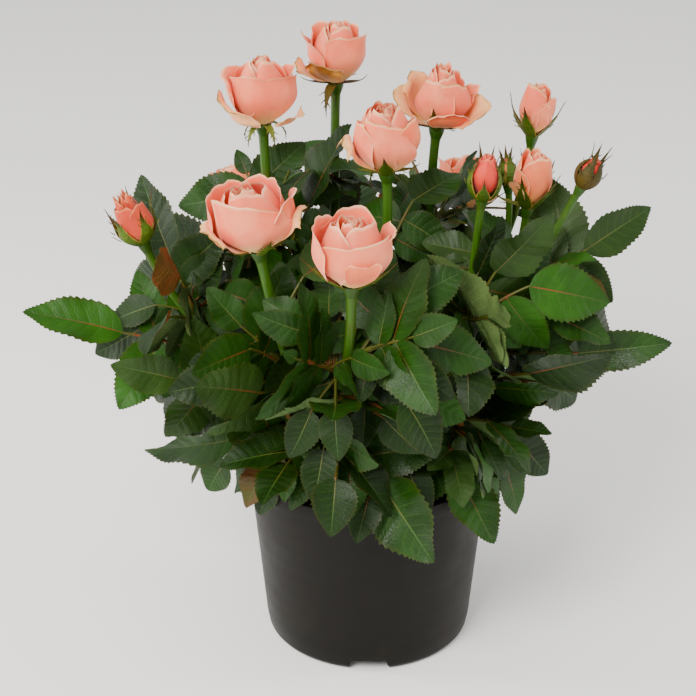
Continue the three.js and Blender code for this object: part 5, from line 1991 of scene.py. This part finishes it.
    def _claim_limbs(self) -> None:
        """Takes the room of stems, blooms and the pot."""
        lines = [(path.points(12), 2.6) for path in self.rule.stems.values()]
        lines += [(np.array([vec(*f.seat) + f.axis * h for h in np.linspace(0, f.size[1], 5)]),
            f.size[0] / 2) for f in FLOWERS]
        lines += [(path.points(5), 4.6) for path in self.rule.stumps]
        lines.append((np.array([[0, 0, z] for z in (2, 40, 92, 93, 100)]), np.array([50.0, 55, 61, 65, 65])))
        for line, radius in lines:
            turns = around(8 if np.isscalar(radius) else 24)
            radii = np.broadcast_to(radius, len(line))
            if np.isscalar(radius) and radius > 4.8:
                radii = radius * np.array([0.4, 0.95, 1.0, 0.95, 0.5])
            along = unit(line[-1] - line[0])
            side = unit(np.cross(along, vec(0.3, 1, 0.1)))
            over = np.cross(along, side)
            rings = line[:, None] + radii[:, None, None] * (np.cos(turns)[None, :, None] * side
                + np.sin(turns)[None, :, None] * over)
            self.taken.append(self._take(rings.reshape(-1, 3),
                ring_faces(len(line) - 1, len(turns)).tolist()))

    def _hull(self) -> Planes:
        """The planes of the smallest convex body round the foliage's solids: normals and distances."""
        shape = bmesh.new()
        for points in self.corners.values():
            for point in points[::3]:
                shape.verts.new(point)
        made = bmesh.ops.convex_hull(shape, input=shape.verts)
        faces = [face for face in made["geom"] if isinstance(face, bmesh.types.BMFace)]
        middle = np.mean([tuple(vertex.co) for vertex in shape.verts], axis=0)
        normals, offsets = [], []
        for face in faces:
            normal, anchor = np.array(face.normal), np.array(face.verts[0].co)
            normal = -normal if normal.dot(anchor - middle) < 0 else normal
            normals.append(normal)
            offsets.append(normal.dot(anchor))
        shape.free()
        return np.array(normals), np.array(offsets)

    def _fill(self, tag: str, path: BezierPath, at: float, size: float, seed: int, hull: Planes, pairs: int,
            tries: int = 14) -> None:
        """Grows one extra leaf from a limb where there is room for it.

        Args:
            tag: The region that it is joined with.
            path: Its limb.
            at: Its share of the way along.
            size: Its size, full size being one.
            seed: Its seed.
            hull: The planes that it stays inside.
            pairs: Its pairs of side leaflets.
            tries: Turns that it tries.
        """
        best: LeafPlan | None = None
        shapes: list = []
        for attempt in range(tries):
            random = SeededRandom(seed * 131 + attempt * 17 + 5)
            plan = self.rule.compound_leaf(path, at, random(0, 6.28), random(0.5, 1.35),
                size * (1 - 0.02 * attempt), random, None, pairs)
            kept, forms = [], []
            for number, leaflet in enumerate(plan.leaflets):
                leaflet.seed = seed * 53 + number * 7 + 3
                self._face_light(leaflet)
                tip = leaflet.tip
                inside = (hull[0] @ tip <= hull[1] - self.margin).all() and tip[2] > self.lowest_tip
                form = self._coarse(leaflet) if inside else None
                if form and self._is_clear(form):
                    kept.append(leaflet)
                    forms.append(form)
                elif number == 0:
                    break
            if kept and (best is None or len(kept) > len(best.leaflets)):
                best, shapes = LeafPlan(plan.stalk, plan.size, kept, seed), forms
            if best and len(best.leaflets) == len(plan.leaflets):
                break
        if best and len(best.leaflets) > 1:
            self.leaves.append((tag, best))
            self.taken += shapes

    def _fill_masses(self, hull: Planes, places: Sequence[float], size: float, less: float, seed: int,
            tries: int) -> None:
        """Grows extra leaves at the same places on every shoot.

        Args:
            hull: The planes that they stay inside.
            places: How far along the shoot they stand.
            size: The first one's size, as a share of its mass's.
            less: By how much each next one is smaller.
            seed: The first seed.
            tries: Turns that each tries.
        """
        for index, mass in enumerate(MASSES):
            for turn, at in enumerate(places):
                self._fill(self.region_of[mass.name], self.rule.shoots[index], at,
                    mass.size * (size - less * turn), seed + index * 9 + turn, hull, 2, tries)

    def _skirt(self, count: int = 30, tries: int = 16) -> None:
        """Hangs small leaves of three leaflets over the rim of the pot, wherever there is room.

        Args:
            count: Places round the rim.
            tries: Tries at each of them.
        """
        limbs = [path.point(share) for path in self.rule.shoots for share in np.linspace(0.1, 0.9, 9)]
        for place in range(count):
            for attempt in range(tries):
                random = SeededRandom(9000 + place * 37 + attempt)
                turn = (place + random()) * 2 * math.pi / count
                out, across = vec(math.cos(turn), math.sin(turn), 0), vec(-math.sin(turn), math.cos(turn), 0)
                foot = out * random(54, 64) + UP * random(110, 126)
                forward = unit(out - UP * random(0.6, 1.3) + across * random(-0.4, 0.4))
                size = random(0.72, 1)
                leaflets = [LeafletPlan(foot, forward, unit(out + UP), 29 * size, 18.5 * size,
                    9100 + place * 5)]
                for hand in (1, -1):
                    aside = unit(forward * 0.5 + across * hand + UP * 0.2)
                    leaflets.append(LeafletPlan(foot - forward * 3 * size, aside, unit(out + UP), 21 * size,
                        13.5 * size, 9101 + place * 5 + hand))
                forms = [self._coarse(leaflet) for leaflet in leaflets]
                clear = [self._is_clear(form) for form in forms]
                if clear[0]:
                    limb = min(limbs, key=lambda point: float(np.linalg.norm(point - foot)))
                    stalk = BezierPath((limb, (limb + foot) / 2 + UP * 5, foot))
                    kept = [number for number in range(3) if clear[number]]
                    region = self.eighths[int(turn / math.pi * 4) % 8]
                    self.leaves.append((region, LeafPlan(stalk, 0.6, [leaflets[number] for number in kept],
                        9000 + place)))
                    self.taken += [forms[number] for number in kept]
                    break

    def grow(self) -> None:
        """Places the leaves of the solids, then the smaller ones between them."""
        self._claim_limbs()
        self.region_of = {mass: region for region, masses in self.regions.items() for mass in masses}
        for index, mass in enumerate(MASSES):
            for plan in self.rule.leaves_of(index, self.corners[mass.name]):
                for number, leaflet in enumerate(plan.leaflets):
                    leaflet.seed = plan.seed * 101 + number * 13 + 11
                    size, roll, narrow = self.trims.get((plan.seed, number), (1, 0, 1))
                    leaflet.length, leaflet.width = leaflet.length * size, leaflet.width * size * narrow
                    side = np.cross(leaflet.forward, leaflet.normal)
                    leaflet.normal = unit(leaflet.normal * math.cos(roll) + side * math.sin(roll))
                    self._face_light(leaflet)
                    self.taken.append(self._coarse(leaflet))
                self.leaves.append((self.region_of[mass.name], plan))
        LOG.info("leaves of the solids: %d with %d leaflets", len(self.leaves),
            sum(len(p.leaflets) for _, p in self.leaves))
        hull = self._hull()
        self._fill_masses(hull, (0.9, 0.62, 0.38, 0.12), 0.84, 0.05, 1000, 14)
        self._skirt()
        self._fill_masses(hull, (0.8, 0.5, 0.25), 0.66, 0, 5000, 20)
        sides = {"front": "front", "middle": "front", "front_left": "front_left", "left": "left",
            "back_left": "top", "top": "top", "back_right": "top", "rear_left": "rear", "rear_right": "rear"}
        for index, flower in enumerate(FLOWERS):
            for turn, at in enumerate((0.7, 0.56, 0.44, 0.34, 0.25, 0.17, 0.1)):
                self._fill(sides.get(flower.name, "right"), self.rule.stems[flower.name], at,
                    0.86 - 0.05 * turn, 3000 + index * 11 + turn, hull, 2)
        LOG.info("leaves in all: %d with %d leaflets", len(self.leaves),
            sum(len(p.leaflets) for _, p in self.leaves))

    def tone_of(self, plan: LeafPlan) -> LeafTone:
        """The tone that a whole leaf is dealt: fresher high up, deeper low down.

        Args:
            plan: The leaf's plan.

        Returns:
            Its tone.
        """
        chance, height = SeededRandom(plan.seed * 7 + 77)(), plan.stalk.point(1)[2]
        if plan.seed in self.dealt:
            return self.dealt[plan.seed]
        if chance < 0.03:
            return LeafTone.BRONZE
        if chance < 0.11:
            return LeafTone.GREY
        fresh = 0.11 + (0.18 if height > 170 else 0.08)
        if chance < fresh:
            return LeafTone.FRESH
        return LeafTone.MID if chance < fresh + 0.38 else LeafTone.DEEP

    def _write_leaf(self, writer: MeshWriter, plan: LeafPlan) -> None:
        """Adds the leaflets of one leaf.

        Args:
            writer: The writer of its faces.
            plan: The leaf's plan.
        """
        tone = self.tone_of(plan).value
        columns = np.array([-1, -0.52, -0.026, 0.026, 0.52, 1])
        for leaflet in plan.leaflets:
            rows = self.rows if leaflet.length > self.short else self.short_rows
            upper, lower, u, v = self.blade(leaflet, rows, columns, True)
            rib = 8 if SeededRandom(leaflet.seed + 5)() < self.red_ribs else 7
            reddish = tone == LeafTone.BRONZE.value or SeededRandom(leaflet.seed + 9)() < self.red_undersides
            writer.shell(upper, lower, u, v, (tone, 6 if reddish else 5),
                np.array([tone, tone, rib, tone, tone]))

    def _stalks(self) -> Piece:
        """The shoots and leaf stalks, as curves that a node tree gives their thickness."""
        curve = bpy.data.curves.new("leaf_stalks", "CURVE")
        curve.dimensions = "3D"

        def line(points: Array, radii: Iterable[float]) -> None:
            """Adds one stalk."""
            spline = curve.splines.new("POLY")
            spline.points.add(len(points) - 1)
            spline.points.foreach_set("co",
                np.concatenate([points * MM, np.ones((len(points), 1))], 1).ravel())
            spline.points.foreach_set("radius", list(radii))

        for path in self.rule.shoots:
            line(path.points(14), np.linspace(1.6, 1.25, 14))
        for _, plan in self.leaves:
            thick = 0.62 + 0.4 * plan.size
            points = plan.stalk.points(12)
            points[0] = points[0] - (points[1] - points[0]) * 0.1
            line(points, np.concatenate([[1.5 * thick, 1.15 * thick], np.linspace(thick, 0.62 * thick, 10)]))
            for leaflet in plan.leaflets:
                line(np.array([leaflet.foot - leaflet.forward * 0.4, leaflet.foot + leaflet.forward * 1.4]),
                    (0.6 * thick, 0.45 * thick))
        carrier = placed("stalk_lines", curve)
        tree = GrowthTree("leaf_stalks", Sides=8, Thickness=MM, Finish=self.wardrobe.stalk)
        ring = tree.node("CurvePrimitiveCircle", {"Resolution": tree.start["Sides"], "Radius": 1.0})
        scale = tree.node("ShaderNodeMath", {0: tree.node("InputRadius").outputs[0],
            1: tree.start["Thickness"]}, operation="MULTIPLY")
        tube = tree.node("CurveToMesh", {"Curve": tree.start["Geometry"], "Profile Curve": ring.outputs[0],
            "Scale": scale.outputs[0], "Fill Caps": True})
        smooth = tree.node("SetShadeSmooth", {"Geometry": tube.outputs[0]})
        return tree.run(carrier, smooth.outputs[0], "leaf_stalks")

    def _stipules(self) -> Piece:
        """The small wings at the foot of every leaf stalk."""
        writer = MeshWriter()
        for _, plan in self.leaves:
            foot, ahead = plan.stalk.point(0.02), plan.stalk.tangent(0.05)
            side = unit(np.cross(ahead, UP))
            over = np.cross(side, ahead)
            for hand in (1, -1):
                t, s = np.meshgrid(np.linspace(0, 1, 6), np.array([0.0, 0.5, 1.0]), indexing="ij")
                reach = (1.3 + 1.5 * np.sin(t * math.pi) ** 0.7 * (1 - 0.4 * t)) * plan.size
                away = hand * (side * 0.85 + over * 0.3 * hand)
                length = 9.5 * plan.size * t * (1 + 0.14 * s)
                corner = ((t > 0.9) * s * 1.2)[..., None]
                grid = foot + length[..., None] * ahead + (reach * s)[..., None] * away + corner * away
                under = grid - over * 0.25
                if hand > 0:
                    grid, under = grid[:, ::-1], under[:, ::-1]
                writer.shell(grid, under, s, t, (0, 1), pinch=False)
        return writer.piece("stipules", self.wardrobe.sepal[:2], 60)

    def build(self) -> list[Piece]:
        """Grows, builds and dresses the leaves and their stalks."""
        self.grow()
        made = []
        for region, masses in self.regions.items():
            writer = MeshWriter()
            for tag, plan in self.leaves:
                if tag == region:
                    self._write_leaf(writer, plan)
            piece = writer.piece(f"leaves_{region}", self.wardrobe.leaf, 60)
            LOG.info("%s: %d triangles", piece.name, writer.triangles)
            made.append(settle(piece, "leaves", *[f"foliage_{mass}" for mass in masses]))
        made.append(settle(self._stalks(), "green_stem"))
        made.append(settle(self._stipules(), "leaves"))
        return made


# ---------- Studio ----------


@dataclass
class Studio:
    """A plain pale floor, soft lights and the camera."""

    pitch: float = 26.7
    camera_at: Triple = (-0.0105, -1.0, 0.66)
    focal_pixels: float = 2258
    frame_pixels: float = 696

    def _area(self, name: str, at: Triple, towards: Triple, size: Pair, power: float) -> None:
        """Adds one soft box.

        Args:
            name: The light's name.
            at: Where it stands, in metres.
            towards: What it looks at.
            size: Its width and height, in metres.
            power: Its power, in watts.
        """
        data = bpy.data.lights.new(name, "AREA")
        data.color = (1.0, 0.965, 0.91)
        data.shape, data.size, data.size_y, data.energy = "RECTANGLE", size[0], size[1], power
        light = placed(name, data)
        light.location = at
        light.rotation_euler = (Vector(towards) - Vector(at)).to_track_quat("-Z", "Y").to_euler()

    def build(self) -> None:
        """Sets up floor, lights, surroundings and camera."""
        writer, far = MeshWriter(), 3000.0
        writer.add(np.array([[-far, -far, 0], [far, -far, 0], [far, far, 0], [-far, far, 0]]),
            np.array([[0, 1, 2, 3]]))
        floor = writer.piece("floor", [FloorFinish().material()])
        world = bpy.data.worlds.new("studio")
        bpy.context.scene.world = world
        world.use_nodes = True
        sky = world.node_tree.nodes["Background"].inputs
        sky[0].default_value, sky[1].default_value = (1, 0.99, 0.97, 1), 0.95
        self._area("key", (-0.55, -1.0, 1.15), (0, 0, 0.17), (0.7, 0.7), 34)
        self._area("left_strip", (-1.0, 0.05, 0.45), (0, 0, 0.12), (0.25, 1.1), 10)
        self._area("right_strip", (1.0, 0.05, 0.45), (0, 0, 0.12), (0.25, 1.1), 6)
        data = bpy.data.cameras.new("camera")
        data.sensor_width, data.lens = 36, 36 * self.focal_pixels / self.frame_pixels
        camera = placed("camera", data)
        camera.location = self.camera_at
        camera.rotation_euler = (math.radians(90 - self.pitch), 0, 0)
        bpy.context.scene.camera = camera


def main() -> None:
    """Builds the whole plant round the frame."""
    logging.basicConfig(level=logging.INFO, format="%(name)s: %(message)s")
    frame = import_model()
    Studio().build()
    wardrobe, rule = Wardrobe(), GrowthRule(LeafHabit())
    corners = {}
    for mass in MASSES:
        mesh = frame["nodes"][f"foliage_{mass.name}"].data
        points = np.empty(len(mesh.vertices) * 3, np.float32)
        mesh.vertices.foreach_get("co", points)
        corners[mass.name] = np.unique(points.reshape(-1, 3).astype(float) / MM, axis=0)
    Pot(wardrobe).build()
    Compost(wardrobe).build()
    Wood(wardrobe, rule).build()
    Flowers(wardrobe).build()
    Foliage(wardrobe, rule, corners).build()


if __name__ == "__main__":
    main()
